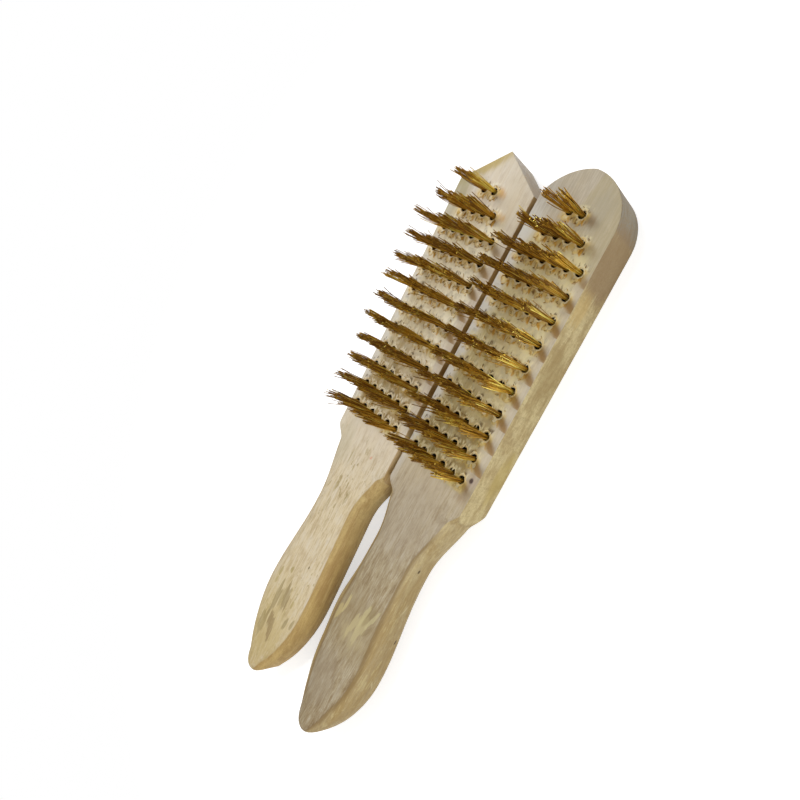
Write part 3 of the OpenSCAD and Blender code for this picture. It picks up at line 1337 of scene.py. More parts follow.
@dataclass(frozen=True)
class WoodFinish:
    """Raw sawn wood: its colours, painted light and shade among its tufts, and the marks it has taken."""

    name: str
    top: Chip
    pale: Chip
    warm: Chip
    # field is the paler wood among the tufts, partly its own colour and partly painted light; shade and
    # shade_low are painted shade.
    field: Chip
    grip: Chip
    tip: Chip
    wall: Chip
    wall_dark: Chip
    wall_lit: Chip
    sanded: Chip
    sanded_low: Chip
    end: Chip
    line: Chip
    fleck: Chip
    flecks: float
    lines: float
    # The ochre behind the rows and on the mounds is partly stained wood and partly painted warm shadow of the
    # tufts.
    stain_and_shadow: Chip
    shade: Chip
    shade_low: Chip
    # lobe is the pale of frayed fibres, and also a painted highlight in the middle of each torn mound.
    lobe: Chip
    bare: float
    # How strong the painted edge shade along the handle is.
    border_shade: float
    shift: float
    marks: tuple[Mark, ...]
    wall_marks: tuple[Mark, ...]


class WoodCoat:
    """The nodes of one board's wood, which read the brush's own millimetres."""

    relief: float = 0.32
    relief_shown: float = 0.6
    shine: float = 0.2

    def __init__(self, finish: WoodFinish, place: BrushPlace, grid: TuftGrid) -> None:
        """Read the places and patterns that the layers share.

        Args:
            finish: The wood's colours and marks.
            place: Where the brush lies, which sets the run of the grain.
            grid: Its holes, which the stains and painted shadows follow.
        """
        self.finish = finish
        self.grid = grid
        self.paint = Paint(finish.name)
        source = self.paint.node("ShaderNodeTexCoord")
        self.own = place.own(self.paint, source.outputs["Object"])
        self.x, self.y, self.z = self.paint.split(self.own)
        _, self.facing_y, facing_z = self.paint.split(source.outputs["Normal"])
        self.turn = self.paint.attribute("turn")
        self.lap = self.paint.attribute("lap")
        self.figure = self.read(FIGURE)
        self.lines = self.read(LINES)
        self.pores = self.read(PORES).step(0.58, 0.70)
        self.rag = self.read(RAG)
        self.cloud = self.read(CLOUD)
        self.streak = self.read(STREAK)
        self.head = self.y.step(-45.0, 20.0)
        cap = abs(facing_z).step(0.35, 0.60).most(self.y.step(-198.0, -192.0))
        self.flat = self.turn.step(34.6, 32.6) * cap
        self.up = self.flat * facing_z.step(0.0, 0.2)
        self.over = self.past_row()
        self.among = self.in_grid()
        self.field = self.among * self.up
        self.mound = self.from_mound()

    def read(self, pattern: Pattern) -> Value:
        """Add one of the wood's patterns."""
        return self.paint.noise(self.own, pattern, self.finish.shift)

    def material(self) -> Material:
        """Lay the face, the walls and a painted edge shade where they meet on the handle, and give them their
        relief.
        """
        face = self.marked(self.face(), self.finish.marks, self.x)
        for layer in (self.shaded, self.washed, self.torn, self.holes):
            face = layer(face)
        walls = self.marked(self.walls(), self.finish.wall_marks, self.z)
        # Painted edge shade: a brown line where the face turns down into the sides of the handle.
        border_shade = self.turn.step(30.0, 34.0) * self.turn.step(46.0, 36.0) * self.y.step(-80.0, -92.0)
        colour = self.paint.lay(walls, (self.flat, face), (border_shade * self.finish.border_shade, self.finish.line))
        torn = abs(self.over).step(4.6, 2.4) * (self.read(FIBRE) * 0.7 + self.read(LUMP) * 0.8)
        height = self.lines * 0.20 + self.read(FUZZ) * 0.30 - self.pores * 0.20
        height = height + (torn + self.mound.step(1.1, 0.2) * 2.4) * self.field
        rough = 0.70 + 0.14 * (self.figure - 0.5) - 0.08 * (1.0 - self.flat)
        inputs = {"Base_Color": colour, "Roughness": rough, "Specular_IOR_Level": self.shine}
        return self.paint.finish(height, self.relief, self.relief_shown, **inputs)

    def face(self) -> Socket:
        """The wired face and the back: cream at the head, tan towards the tip."""
        finish = self.finish
        grip = self.y.step(-60.0, -85.0)
        streaks = 0.9 * finish.lines * grip
        mottle = self.read(MOTTLE)
        flecks = self.read(FLECKS).step(0.585, 0.655) * self.read(FLECKED).step(0.40, 0.60)
        return self.paint.lay(
            finish.top,
            (self.read(BROAD).step(0.36, 0.64) * self.y.step(-80.0, -40.0), finish.pale),
            (self.y.step(-58.0, -108.0), finish.grip),
            (self.y.step(-160.0, -206.0), finish.tip),
            (self.figure.step(0.44, 0.68) * 0.28, finish.warm),
            (mottle.step(0.50, 0.64) * (0.16 + streaks), finish.line),
            (mottle.step(0.49, 0.38) * (0.14 + 0.20 * grip), finish.pale),
            (self.lines.step(0.50, 0.60) * (0.10 + streaks), finish.line),
            (self.lines.step(0.48, 0.38) * (0.12 + 0.18 * grip), finish.pale),
            (self.pores * (0.06 + 0.16 * grip), finish.line),
            (flecks * grip * finish.flecks, finish.fleck),
        )

    def walls(self) -> Socket:
        """The sawn walls of the head, the sanded sides of the handle and the end wood."""
        finish = self.finish
        patchy = self.read(PATCHY)
        speck = self.read(SPECK)
        head = self.paint.lay(
            finish.wall,
            (patchy.step(0.42, 0.60) * 0.60, finish.wall_dark),
            (patchy.step(0.46, 0.32) * 0.55, finish.wall_lit),
            (speck.step(0.48, 0.64) * 0.45, finish.wall_dark),
            (self.read(SAW).step(0.52, 0.62) * 0.13, finish.line),
        )
        side = self.paint.lay(
            finish.sanded,
            (self.y.step(-95.0, -150.0), finish.sanded_low),
            (self.figure.step(0.42, 0.62) * 0.55, finish.wall_dark),
            (self.lines.step(0.50, 0.64) * 0.26, finish.line),
            (self.lines.step(0.48, 0.38) * 0.30, finish.wall_lit),
            (patchy.step(0.44, 0.60) * 0.30, finish.wall_dark),
            (speck.step(0.46, 0.62) * 0.28, finish.wall_dark),
        )
        ends = self.paint.lay(
            finish.end,
            (speck.step(0.42, 0.62) * 0.5, finish.wall_dark),
            (self.read(RINGS).step(0.48, 0.62) * 0.30 + speck.step(0.54, 0.66) * 0.35, finish.line),
        )
        return self.paint.lay(
            head,
            (self.lap.step(0.35, -0.35), side),
            (self.lap.step(1.2, 0.2) * self.lap.step(-0.6, 0.2) * 0.35, finish.line),
            (speck.step(0.46, 0.60) * self.y.step(60.0, 40.0) * self.y.step(20.0, 40.0) * 0.35, finish.line),
            (abs(self.facing_y).step(0.02, 0.14) * self.y.step(54.0, 58.0), ends),
        )

    def marked(self, colour: Socket, marks: tuple[Mark, ...], across: Value) -> Socket:
        """Lay marks over the wood of one side.

        Args:
            colour: The wood.
            marks: The marks.
            across: The coordinate that runs across that side of the board.

        Returns:
            The marked wood.
        """
        return self.paint.lay(colour, *((self.spread(mark, across), mark.chip) for mark in marks))

    def spread(self, mark: Mark, across: Value) -> Value:
        """How much of a mark shows.

        Args:
            mark: The mark.
            across: The coordinate that runs across its side of the board.

        Returns:
            0 outside the mark, and up to its strength inside it.
        """
        cos, sin = math.cos(math.radians(mark.lean)), math.sin(math.radians(mark.lean))
        aside, ahead = across - mark.across, self.y - mark.along
        wide = (aside * cos + ahead * sin) / mark.half_width
        long = (ahead * cos - aside * sin) / mark.half_length
        away = (wide * wide + long * long).root() + (self.rag - 0.5) * mark.ragged * 2.0
        shown = away.step(1.0 + mark.soft, 1.0 - mark.soft) * mark.strength
        if mark.broken:
            shown = shown * (1.0 - mark.broken * self.lines.step(0.54, 0.46))
        return shown

    def in_grid(self) -> Value:
        """1 inside the tuft grid, which narrows to two holes at the head end."""
        grid, y = self.grid, self.y
        half = grid.across * grid.pitch / 2
        narrow = 0.0
        for rows in (1.5, 0.5):
            end = grid.end_y - rows * grid.row_pitch
            narrow = y.step(end - 0.2, end + 0.2) * grid.pitch + narrow
        across = (abs(self.x) + narrow).step(half + 1.6, half - 0.8)
        return across * abs(y).step(grid.end_y + 6.0, grid.end_y + 5.0)

    def near_grid(self) -> Value:
        """1 among the tufts, fading out over a few millimetres round the grid."""
        grid = self.grid
        half = grid.across * grid.pitch / 2 + (self.cloud - 0.5) * 8.0
        narrow = ((self.y - (grid.end_y - 1.5 * grid.row_pitch)) * 0.55).most(0.0)
        across = 1.0 - ((abs(self.x) + narrow - half) / 6.0 + 0.5).step(0.0, 1.0)
        return across * abs(self.y).step(grid.end_y + 7.0, grid.end_y + 1.0)

    def past_row(self) -> Value:
        """How far a point lies from its nearest row, past it towards the head end."""
        pitch = self.grid.row_pitch
        turns = (self.y + (self.grid.end_y % pitch)) / pitch + 100.5
        return turns.fraction() * pitch - pitch / 2

    def past_hole(self) -> Value:
        """How far a point lies from the middle of its column of holes, across the board."""
        return ((self.x / self.grid.pitch + 100.0).fraction() - 0.5) * self.grid.pitch

    def from_mound(self) -> Value:
        """How far a point lies from the torn mound behind its hole: 1 at the mound's foot."""
        across = (self.past_hole() + 0.3 + (self.read(MOUND_ACROSS) - 0.5) * 3.0) / 1.9
        along = (self.over + 2.8 + (self.read(MOUND_ALONG) - 0.5) * 3.2) / 2.0
        return (across * across + along * along).root()

    def shadow_wedges(self) -> tuple[Value, Value]:
        """The painted shadow beside each mound, a brown wedge: how far a point is in it, and how near its
        hole.
        """
        across = self.past_hole() + (self.read(SHADOW_WEDGE_PLACE) - 0.5) * 3.0
        run = across * 0.46 - self.over * 0.89
        side = across * 0.89 + self.over * 0.46 + (self.read(SHADOW_WEDGE_EDGE) - 0.5) * 1.6
        near = 1.0 - (run - 1.2) / (4.0 + (self.read(SHADOW_WEDGE_LENGTH) - 0.5) * 7.0)
        wide = near.step(0.0, 1.0) * 0.75 + 0.45
        inside = (abs(side) / wide).step(1.30, 0.50) * run.step(0.3, 1.2) * near.step(-0.05, 0.25)
        return inside, near.step(0.35, 1.0)

    def shaded(self, colour: Socket) -> Socket:
        """Tint the wood among the tufts paler, partly painted light, then lay painted shade at the left and
        towards the handle.
        """
        finish, x, y = self.finish, self.x, self.y
        # The paler tint: partly the wood's own colour, partly painted light against the wires' shade.
        tint = self.near_grid() * self.up * x.step(-17.0, -12.0) * y.step(54.0, 40.0)
        # bare leaves the paler tint off the right margin, so the margin stays darker, as painted shade of the
        # last tufts.
        tint = tint * (1.0 - finish.bare * x.step(14.0, 17.0))
        # deep and low: painted shade among the tufts.
        deep = tint * x.step(13.0, -7.0) * (0.30 + 0.45 * y.step(30.0, -45.0))
        low = tint * y.step(-6.0, -44.0) * (0.45 + 0.45 * self.cloud.step(0.60, 0.40))
        return self.paint.lay(
            colour,
            (tint * (0.62 + 0.38 * self.cloud.step(0.35, 0.6)), finish.field),
            (deep * (0.5 + 0.5 * self.streak.step(0.40, 0.60)), finish.shade),
            (low, finish.shade_low),
        )

    def washed(self, colour: Socket) -> Socket:
        """Wash behind the rows: ochre and painted shadow, a painted golden brass reflection, grey before the
        next row.
        """
        x, y, over, cloud = self.x, self.y, self.over, self.cloud
        wash = over.step(-5.0, -1.8) * over.step(2.4, 0.2) * (0.35 + 0.65 * cloud.step(0.36, 0.60))
        # painted golden reflection of the brass on the wood behind the right tufts of the later rows
        reflected_gold = x.step(3.0, 10.0) * over.step(-7.0, -2.0) * y.step(12.0, -18.0) * cloud.step(0.30, 0.55)
        return self.paint.lay(
            colour,
            # ochre behind each row: partly stained wood, partly painted warm shadow of the tufts
            (self.field * wash * (0.55 + 0.30 * self.head), self.finish.stain_and_shadow),
            (self.field * reflected_gold * over.step(1.5, -0.5) * 0.65, BRASS_REFLECTION_GOLD),
            (self.field * over.step(0.5, 3.0) * self.read(GREYED).step(0.52, 0.66) * 0.35, DUSTY_GREY),
        )

    def torn(self, colour: Socket) -> Socket:
        """Paint the torn mounds behind the holes with a painted highlight in their middles, their painted
        shadow wedges and the frayed fibres.
        """
        field, over, streak, head, mound = self.field, self.over, self.streak, self.head, self.mound
        foot = abs(mound - 1.0).step(0.22, 0.06) * streak.step(0.40, 0.52) * (0.20 + 0.35 * head)
        wedge_shadow, start = self.shadow_wedges()
        wedge_shadow = field * wedge_shadow * (0.50 + 0.50 * head)
        behind = over.step(-4.6, -3.6) * over.step(-0.8, -2.0)
        before = over.step(4.6, 3.4) * over.step(0.9, 1.8)
        fray = self.read(FRAY)
        return self.paint.lay(
            colour,
            # ochre over each mound: partly stained wood, partly painted warm shadow
            (field * mound.step(1.15, 0.8) * (0.26 + 0.30 * head), self.finish.stain_and_shadow),
            # painted highlight: the pale middle of each torn mound
            (field * mound.step(0.7, 0.2) * 0.55, self.finish.lobe),
            (field * foot * over.step(-1.0, -2.2), MOUND_FOOT),
            # painted shadow wedges, ochre, and browner near the hole
            (wedge_shadow * (0.7 + 0.3 * streak.step(0.40, 0.55)), SHADOW_WEDGE_OCHRE),
            (wedge_shadow * start * streak.step(0.36, 0.54) * 0.85, SHADOW_WEDGE_BROWN),
            (field * behind * streak.step(0.62, 0.68) * (0.25 + 0.35 * head), SPLIT_BROWN),
            (field * before * fray.step(0.50, 0.42) * 0.60, self.finish.lobe),
            (field * before * fray.step(0.56, 0.64) * 0.75, FRAYED_BROWN),
        )

    def holes(self, colour: Socket) -> Socket:
        """Paint the shadow that the last tuft of each row casts beside its hole, and painted shade inside the
        holes.
        """
        x, y, z = self.x, self.y, self.z
        last = self.grid.across * self.grid.pitch / 2
        # painted shadow of each row's last tuft, running down towards the wall
        du, dv = x - (last + 0.9), self.over + 2.9
        run, wide = (du * 0.81 - dv * 0.58) / 6.2, (du * 0.58 + dv * 0.81) / 2.1
        last_shadow = (run * run + wide * wide).root().step(1.3, 0.3) * x.step(last - 2.4, last - 0.6)
        last_shadow = last_shadow * self.up * y.step(40.0, 30.0) * y.step(-64.0, -58.0)
        # painted shade inside the holes
        inside = z.step(-0.12, -0.75) * z.step(-16.0, -15.0)
        return self.paint.lay(colour, (last_shadow * 0.80, LAST_TUFT_SHADOW), (inside * self.among, HOLE_SHADE))


@dataclass(frozen=True)
class TornFinish:
    """Freshly torn wood: cream fibres that turn ochre and brown where they are thin."""

    name: str
    fresh: Chip
    ochre: Chip = (198, 168, 102)
    brown: Chip = (112, 78, 30)
    fibre: Pattern = Pattern((1000.0, 200.0, 1000.0), 0.0, 2.2, 3.0, 0.6)
    patch: Pattern = Pattern((1000.0, 500.0, 1000.0), 5.0, 0.35, 2.0)

    def material(self) -> Material:
        """Make the torn wood."""
        paint = Paint(self.name)
        source = paint.where()
        fibre, patch = paint.noise(source, self.fibre), paint.noise(source, self.patch)
        aged = paint.attribute("tone") + (fibre - 0.5) * 0.4 + (patch - 0.5) * 0.4
        ochre, brown = aged.step(0.15, 0.60), aged.step(0.62, 1.0)
        colour = paint.lay(self.fresh, (ochre, self.ochre), (brown, self.brown))
        return paint.finish(fibre, 0.12, 0.6, Base_Color=colour, Roughness=0.78, Specular_IOR_Level=0.25)


@dataclass(frozen=True)
class BrassFinish:
    """Drawn brass wire, dulled brown, brighter on the more worn wires and on tufts with a painted highlight.
    """

    name: str = "brass_wire"
    dull: Chip = (137, 95, 20)
    warm: Chip = (208, 163, 50)
    bright: Chip = (246, 232, 120)
    tip: Chip = (104, 76, 30)
    tarnish: Pattern = Pattern((1000.0, 1000.0, 350.0), 0.0, 0.7, 3.0, 0.6)

    def material(self) -> Material:
        """Make the brass."""
        paint = Paint(self.name)
        reach = paint.attribute("reach")
        tarnish = paint.noise(paint.where(), self.tarnish)
        # The tone carries how worn each wire is and, on some tufts, a painted highlight.
        wear_and_highlight = paint.attribute("tone") + (tarnish - 0.5) * 0.8 - reach * 0.20
        colour = paint.lay(
            self.dull,
            (wear_and_highlight.step(0.10, 0.55), self.warm),
            (wear_and_highlight.step(0.56, 0.96), self.bright),
            (reach.step(0.72, 1.0) * 0.55, self.tip),
        )
        rough = 0.36 + 0.22 * (1.0 - wear_and_highlight.step(0.2, 0.9)) + reach.step(0.7, 1.0) * 0.1
        metal = 0.90 - 0.20 * (1.0 - wear_and_highlight.step(0.1, 0.6))
        return paint.finish(tarnish, 0.02, 0.4, Base_Color=colour, Roughness=rough, Metallic=metal)


@dataclass(frozen=True)
class StapleFinish:
    """Flat steel wire, cut and driven."""

    name: str = "staple_steel"
    bright: Chip = (186, 187, 190)
    dull: Chip = (132, 130, 128)
    drawn: Pattern = Pattern((250.0, 1500.0, 1500.0), 0.0, 1.6, 3.0, 0.6)

    def material(self) -> Material:
        """Make the steel."""
        paint = Paint(self.name)
        drawn = paint.noise(paint.where(), self.drawn)
        colour = paint.lay(self.bright, (drawn.step(0.35, 0.65), self.dull))
        rough = 0.30 + 0.25 * drawn
        return paint.finish(drawn, 0.02, 0.5, Base_Color=colour, Roughness=rough, Metallic=1.0)


# --------------------------------------------------------------------------- one brush


@dataclass
class HandBrush:
    """One whole brush: board, torn wood, rows of wires and staples."""

    name: str
    shape: BoardShape
    wood: WoodFinish
    torn: TornFinish
    seed: int
    highlight_raise: float = 0.0
    fresh: float = 0.0
    grid: TuftGrid = field(default_factory=TuftGrid)
    tuft: Tuft = field(default_factory=Tuft)
    staple_sharp: float = 30.0

    def build(self, brass: Material, steel: Material) -> None:
        """Make the brush's pieces.

        Args:
            brass: The wires' metal.
            steel: The staples' metal.
        """
        place = BrushPlace.of(self.name, self.grid.rows)
        wood = WoodCoat(self.wood, place, self.grid).material()
        board = WoodenBoard(self.shape, self.grid, place, self.seed).build(wood)
        TornWood(self.grid, place, self.seed).build(self.torn.material())
        for row in range(1, self.grid.rows + 1):
            WireRow(self.tuft, self.grid, place, row, self.seed, self.highlight_raise, self.fresh).build(brass)
        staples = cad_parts[f"{self.name}_staples"]
        dress(staples, steel, self.staple_sharp)
        report(staples)


ROUND_SHAPE = BoardShape(
    end=HeadEnd.ROUNDED,
    shoulder=Station(-70.55, -19.1, 23.2),
    neck=Station(-108.05, -14.0, 17.0),
    belly=Station(-167.05, -13.6, 23.4),
    tip=Station(-208.85, 3.3, 6.5),
    end_top=77.65,
    end_left=-20.6,
    end_right=20.0,
    broad=1.5,
    slants=(7.0, 0.0),
    swells=(2.7, 0.0),
)

POINTED_SHAPE = BoardShape(
    end=HeadEnd.POINTED,
    shoulder=Station(-72.05, -19.9, 22.6),
    neck=Station(-111.05, -14.85, 15.45),
    belly=Station(-168.05, -19.9, 19.5),
    tip=Station(-215.85, -1.8, 1.4),
    end_top=77.95,
    end_left=-19.9,
    end_right=24.5,
    slants=(0.0, 7.2),
    swells=(0.0, 1.8),
    swell_y=-120.0,
    swell_run=26.0,
)

WEATHERED = WoodFinish(
    name="weathered_wood",
    top=(180, 166, 140),
    pale=(196, 186, 166),
    warm=(172, 154, 116),
    field=(206, 194, 150),
    grip=(165, 150, 121),
    tip=(152, 136, 107),
    wall=(204, 187, 140),
    wall_dark=(160, 134, 84),
    wall_lit=(216, 202, 150),
    sanded=(186, 168, 127),
    sanded_low=(167, 147, 107),
    end=(146, 138, 122),
    line=(118, 94, 60),
    fleck=(150, 138, 112),
    flecks=0.25,
    lines=0.34,
    stain_and_shadow=(206, 176, 98),
    shade=(162, 142, 86),
    shade_low=(134, 114, 68),
    lobe=(212, 202, 162),
    bare=0.75,
    border_shade=0.62,
    shift=2.0,
    marks=(
        Mark(-18.5, 5.0, 6.5, 70.0, (206, 203, 194), 0.90, 0.0, 0.4, 0.5),
        Mark(-6.0, 70.0, 26.0, 15.0, (166, 155, 136), 0.75, 0.0, 0.3, 0.3, 0.45),
        Mark(13.6, 62.0, 13.0, 30.0, (167, 155, 124), 0.80, -6.0, 0.06, 0.1, 0.30),
        Mark(8.0, 60.0, 5.0, 9.0, (164, 156, 138), 0.45, -6.0, 0.6, 0.8),
        # painted shadows of the last tufts of rows 1 and 2
        Mark(7.4, 57.9, 1.9, 3.6, (138, 112, 76), 0.65, 58.0, 0.7, 0.6),
        Mark(13.2, 47.4, 1.9, 3.6, (142, 114, 74), 0.60, 58.0, 0.7, 0.6),
        Mark(19.4, -56.5, 2.4, 3.0, (150, 126, 116), 0.5, 0.0, 0.6, 0.5),
        Mark(19.4, -56.5, 1.0, 1.2, (52, 34, 40), 0.95, 0.0, 0.4, 0.3),
        Mark(18.5, -63.0, 3.0, 5.0, (142, 116, 82), 0.55, 10.0, 0.5, 0.8),
        Mark(0.0, -88.0, 18.0, 20.0, (168, 155, 136), 0.45, 0.0, 0.5, 1.0),
        Mark(4.0, -145.0, 22.0, 16.0, (150, 132, 97), 0.50, 0.0, 0.5, 1.0),
        Mark(5.0, -150.5, 7.0, 4.5, (176, 161, 124), 0.55, -6.0, 0.4, 1.6),
        Mark(4.0, -144.5, 2.6, 7.0, (186, 171, 128), 0.70, -14.0, 0.14, 1.6),
        Mark(7.8, -144.5, 2.4, 6.0, (186, 172, 130), 0.70, -10.0, 0.14, 1.6),
        Mark(6.3, -137.5, 1.2, 6.0, (190, 177, 132), 0.70, -6.0, 0.14, 1.6),
        Mark(11.2, -136.5, 0.8, 5.5, (188, 176, 134), 0.65, -14.0, 0.14, 1.2),
        Mark(9.0, -136.5, 1.2, 5.0, (138, 122, 84), 0.45, -12.0, 0.3, 1.2),
        Mark(11.3, -143.0, 0.9, 3.2, (138, 120, 88), 0.60, -20.0, 0.2, 0.8),
        Mark(-5.4, -141.0, 0.8, 5.5, (192, 176, 126), 0.70, -3.0, 0.14, 1.2),
        Mark(-7.6, -146.5, 1.4, 5.5, (190, 172, 120), 0.70, -6.0, 0.14, 1.6),
        Mark(1.0, -176.0, 10.0, 14.0, (154, 140, 118), 0.5),
    ),
    wall_marks=(
        Mark(-10.0, 46.0, 16.0, 15.0, (146, 121, 86), 0.85, 0.0, 0.25, 0.5),
        Mark(-6.0, 25.0, 5.0, 7.0, (198, 168, 104), 0.55, 0.0, 0.5, 1.2),
        Mark(-10.0, -5.0, 7.0, 14.0, (156, 133, 84), 0.60, 0.0, 0.5, 1.0),
        Mark(-15.0, -53.0, 5.0, 12.0, (192, 170, 96), 0.50, 0.0, 0.5, 1.0),
        Mark(-11.0, -142.0, 0.5, 1.1, (66, 50, 32), 0.85, 20.0, 0.4, 0.3),
        Mark(-6.0, -106.0, 0.5, 0.9, (66, 50, 32), 0.80, 0.0, 0.4, 0.3),
        Mark(-9.0, -126.0, 0.4, 2.6, (204, 190, 150), 0.60, 30.0, 0.4, 0.6),
        Mark(-8.0, -164.0, 0.4, 2.2, (200, 184, 142), 0.60, -24.0, 0.4, 0.6),
    ),
)

PALE = WoodFinish(
    name="pale_wood",
    top=(206, 194, 172),
    pale=(214, 205, 190),
    warm=(204, 186, 150),
    field=(238, 230, 203),
    grip=(209, 193, 160),
    tip=(180, 160, 116),
    wall=(196, 168, 118),
    wall_dark=(160, 128, 78),
    wall_lit=(212, 186, 134),
    sanded=(202, 178, 121),
    sanded_low=(192, 164, 104),
    end=(226, 221, 212),
    line=(146, 118, 76),
    fleck=(158, 140, 98),
    flecks=0.75,
    lines=0.16,
    stain_and_shadow=(224, 196, 122),
    shade=(176, 154, 98),
    shade_low=(152, 124, 68),
    lobe=(238, 232, 210),
    bare=0.0,
    border_shade=0.25,
    shift=11.0,
    marks=(
        Mark(-9.0, 68.5, 3.2, 18.0, (180, 158, 92), 0.80, -50.0, 0.6, 0.6),
        Mark(-17.5, 52.0, 6.5, 15.0, (166, 156, 118), 0.75, -8.0, 0.5, 0.6),
        # painted shadows of the last tufts of rows 1 and 2
        Mark(7.2, 58.8, 1.9, 2.8, (202, 160, 98), 0.80, 58.0, 0.7, 0.6),
        Mark(13.3, 48.2, 1.9, 2.8, (202, 160, 98), 0.80, 58.0, 0.7, 0.6),
        Mark(-18.5, -10.0, 5.5, 50.0, (224, 220, 208), 0.75, 0.0, 0.5, 0.5),
        Mark(-2.0, -184.0, 16.0, 26.0, (196, 176, 122), 0.50, 0.0, 0.6, 0.8),
        Mark(2.5, -166.5, 1.9, 7.5, (150, 132, 94), 0.85, 10.0, 0.14, 1.5, 0.25),
        Mark(-3.8, -170.5, 1.9, 8.5, (152, 135, 96), 0.80, 0.0, 0.14, 1.5, 0.25),
        Mark(-0.8, -168.0, 2.4, 5.0, (160, 143, 102), 0.60, 0.0, 0.3, 1.6, 0.4),
        Mark(0.6, -185.0, 2.4, 7.5, (148, 127, 88), 0.85, 16.0, 0.14, 1.5, 0.25),
        Mark(-5.6, -187.5, 2.1, 7.0, (154, 136, 92), 0.80, 0.0, 0.14, 1.5, 0.35),
        Mark(-9.3, -158.1, 0.8, 2.8, (158, 142, 88), 0.75, -4.0, 0.2, 0.9, 0.2),
        Mark(-9.4, -163.8, 0.7, 1.8, (160, 144, 92), 0.65, -4.0, 0.2, 0.9, 0.2),
        Mark(-2.7, -152.7, 0.8, 1.8, (160, 144, 90), 0.70, -4.0, 0.2, 0.9, 0.2),
        Mark(8.3, -166.1, 0.8, 2.4, (164, 146, 90), 0.60, -4.0, 0.2, 0.9, 0.2),
        Mark(9.7, -176.7, 1.0, 3.6, (152, 136, 96), 0.80, -6.0, 0.2, 0.9, 0.2),
        Mark(13.2, -174.8, 0.7, 3.0, (152, 136, 96), 0.80, -6.0, 0.2, 0.9, 0.2),
        Mark(-1.6, -84.0, 1.1, 6.0, (160, 146, 108), 0.50, -6.0, 0.3, 1.4, 0.6),
        Mark(-1.8, -100.0, 0.9, 4.0, (162, 146, 104), 0.50, -6.0, 0.2, 1.2, 0.4),
        Mark(8.0, -101.2, 0.9, 3.4, (154, 138, 96), 0.50, -6.0, 0.2, 1.0, 0.4),
        Mark(-2.0, -112.5, 1.1, 5.0, (158, 142, 100), 0.50, -6.0, 0.2, 1.2, 0.5),
        Mark(10.3, -77.5, 0.5, 0.9, (206, 116, 92), 0.50, -20.0, 0.6, 0.2),
        Mark(7.0, -144.2, 0.35, 0.8, (96, 84, 54), 0.9, 0.0, 0.4, 0.2),
        Mark(-11.0, -80.0, 6.0, 12.0, (190, 180, 154), 0.5),
    ),
    wall_marks=(
        Mark(-10.0, 66.0, 12.0, 9.0, (164, 148, 126), 0.6, 0.0, 0.4, 0.5),
        # Painted light: paler walls near the head and near the neck, against the shade in the narrow gap
        # between the boards.
        Mark(-10.0, 46.0, 16.0, 22.0, (206, 176, 130), 0.60, 0.0, 0.8, 1.6),
        Mark(-10.0, -60.0, 16.0, 16.0, (230, 210, 172), 0.65, 0.0, 0.8, 1.6),
    ),
)

TORN_WEATHERED = TornFinish("torn_weathered", (200, 188, 150))
TORN_PALE = TornFinish("torn_pale", (226, 216, 188))


# --------------------------------------------------------------------------- the studio


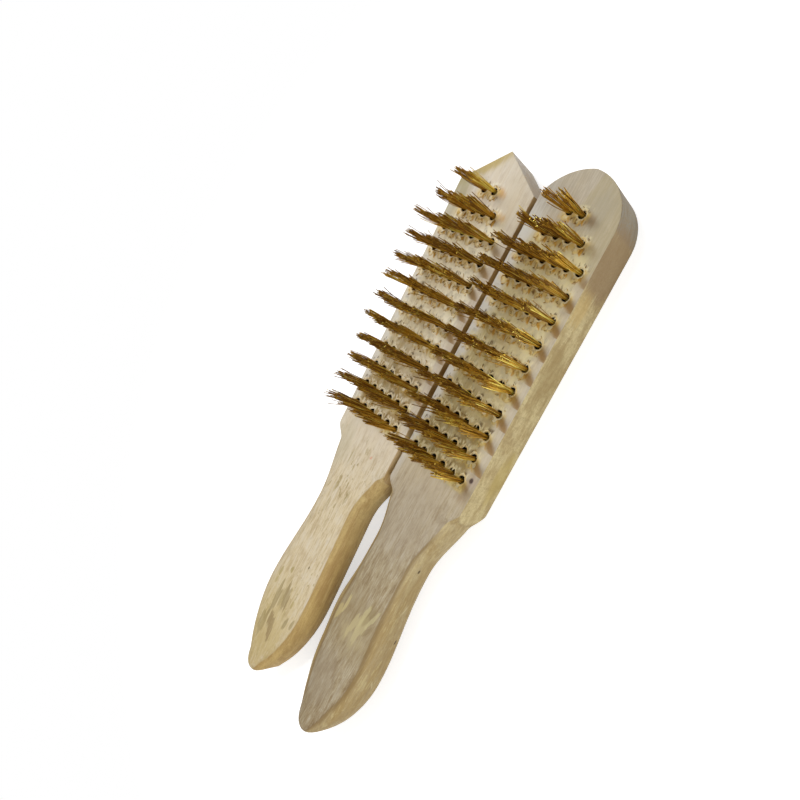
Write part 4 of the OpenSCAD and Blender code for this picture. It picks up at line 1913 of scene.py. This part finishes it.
@dataclass
class Studio:
    """The pale floor, the soft light and the camera, which stands over one brush."""

    place: BrushPlace
    eye: tuple[float, float, float] = (128.485, -2.575, 197.286)
    right: tuple[float, float, float] = (0.62846177, 0.4637925, -0.62444561)
    down: tuple[float, float, float] = (0.45701639, -0.86978148, -0.18605431)
    ahead: tuple[float, float, float] = (-0.62942182, -0.16845385, -0.75858518)
    lens: float = 24.55
    aim: tuple[float, float, float] = (0.0, 0.02, 0.01)
    sky: float = 0.34
    floor_half: float = 3.0
    floor_drop: float = 0.1
    floor_grey: float = 0.80
    floor_glow: float = 0.56
    white_from: float = 0.20
    white_to: float = 0.32

    def camera(self) -> None:
        """Set the camera."""
        data = bpy.data.cameras.new("camera")
        data.lens, data.sensor_width = self.lens, 36.0
        data.clip_start, data.clip_end = 0.005, 20.0
        camera = linked("camera", data)
        turn = Matrix((self.right, -Vector(self.down), -Vector(self.ahead))).transposed().to_4x4()
        camera.matrix_world = Matrix.Translation(self.place.origin + Vector(self.eye) * MM) @ turn
        bpy.context.scene.camera = camera

    def seen(self, paint: Paint) -> Value:
        """1 where a ray comes from the eye, straight, mirrored or through something clear."""
        ray = paint.node("ShaderNodeLightPath")
        kinds = [Value(paint, ray.outputs[f"Is {kind} Ray"]) for kind in ("Camera", "Glossy", "Transmission")]
        return kinds[0].most(kinds[1]).most(kinds[2])

    def floor(self) -> None:
        """Lay the floor, white to the eye and whiter far out, that keeps the brushes' shadow."""
        shape = bmesh.new()
        bmesh.ops.create_grid(shape, x_segments=4, y_segments=4, size=self.floor_half)
        bmesh.ops.translate(shape, vec=(0, 0, -self.floor_drop * MM), verts=shape.verts)
        floor = new_piece("floor", shape)
        paint = Paint("floor_white")
        grey = (self.floor_grey, self.floor_grey, self.floor_grey, 1.0)
        plain = paint.node("ShaderNodeBsdfDiffuse", None, {"Color": grey})
        glow, white = (
            paint.node("ShaderNodeEmission", None, {"Color": WHITE, "Strength": strength})
            for strength in (self.floor_glow, 1.0)
        )
        near = paint.node("ShaderNodeAddShader", None, {0: plain.outputs[0], 1: glow.outputs[0]})
        x, y, _ = paint.split(paint.where())
        far = (x * x + y * y).root().step(self.white_from, self.white_to)
        lit = paint.blend(far, near, white)
        shown = paint.blend(self.seen(paint), plain, lit)
        paint.node("ShaderNodeOutputMaterial", None, {"Surface": shown.outputs[0]})
        dress(floor, paint.material)

    def light(self) -> None:
        """Set the even sky, the lamp from the left and the softer one from the right."""
        world = bpy.data.worlds.new("studio")
        bpy.context.scene.world = world
        paint = Paint("studio", world)
        plain, white = (
            paint.node("ShaderNodeBackground", None, {"Color": WHITE, "Strength": strength})
            for strength in (self.sky, 1.0)
        )
        shown = paint.blend(self.seen(paint), plain, white)
        paint.node("ShaderNodeOutputWorld", None, {"Surface": shown.outputs[0]})
        self.lamp("key", Vector((-0.31, 0.22, 0.92)), 0.30, 4.9)
        self.lamp("fill", Vector((0.76, -0.22, 0.60)), 0.55, 4.3)

    def lamp(self, name: str, where: Vector, size: float, power: float) -> None:
        """Set one soft square lamp that faces the brushes.

        Args:
            name: Its name.
            where: Where it hangs, in metres.
            size: Its width, in metres.
            power: Its power, in watts.
        """
        data = bpy.data.lights.new(name, "AREA")
        data.shape, data.size, data.energy = "SQUARE", size, power
        lamp = linked(name, data)
        aim = (Vector(self.aim) - where).to_track_quat("-Z", "Y")
        lamp.matrix_world = Matrix.Translation(where) @ aim.to_matrix().to_4x4()

    def build(self) -> None:
        """Set the stage."""
        self.camera()
        self.floor()
        self.light()
        scene = bpy.context.scene
        scene.view_settings.view_transform = "Standard"
        LOG.info("stage set")


def main() -> None:
    """Build both brushes and the studio."""
    logging.basicConfig(level=logging.INFO, format="%(name)s: %(message)s")
    brass, steel = BrassFinish().material(), StapleFinish().material()
    HandBrush("round", ROUND_SHAPE, WEATHERED, TORN_WEATHERED, seed=5, highlight_raise=0.16).build(brass, steel)
    HandBrush("pointed", POINTED_SHAPE, PALE, TORN_PALE, seed=17, fresh=0.13).build(brass, steel)
    Studio(BrushPlace.of("round", TuftGrid().rows)).build()


if __name__ == "__main__":
    main()
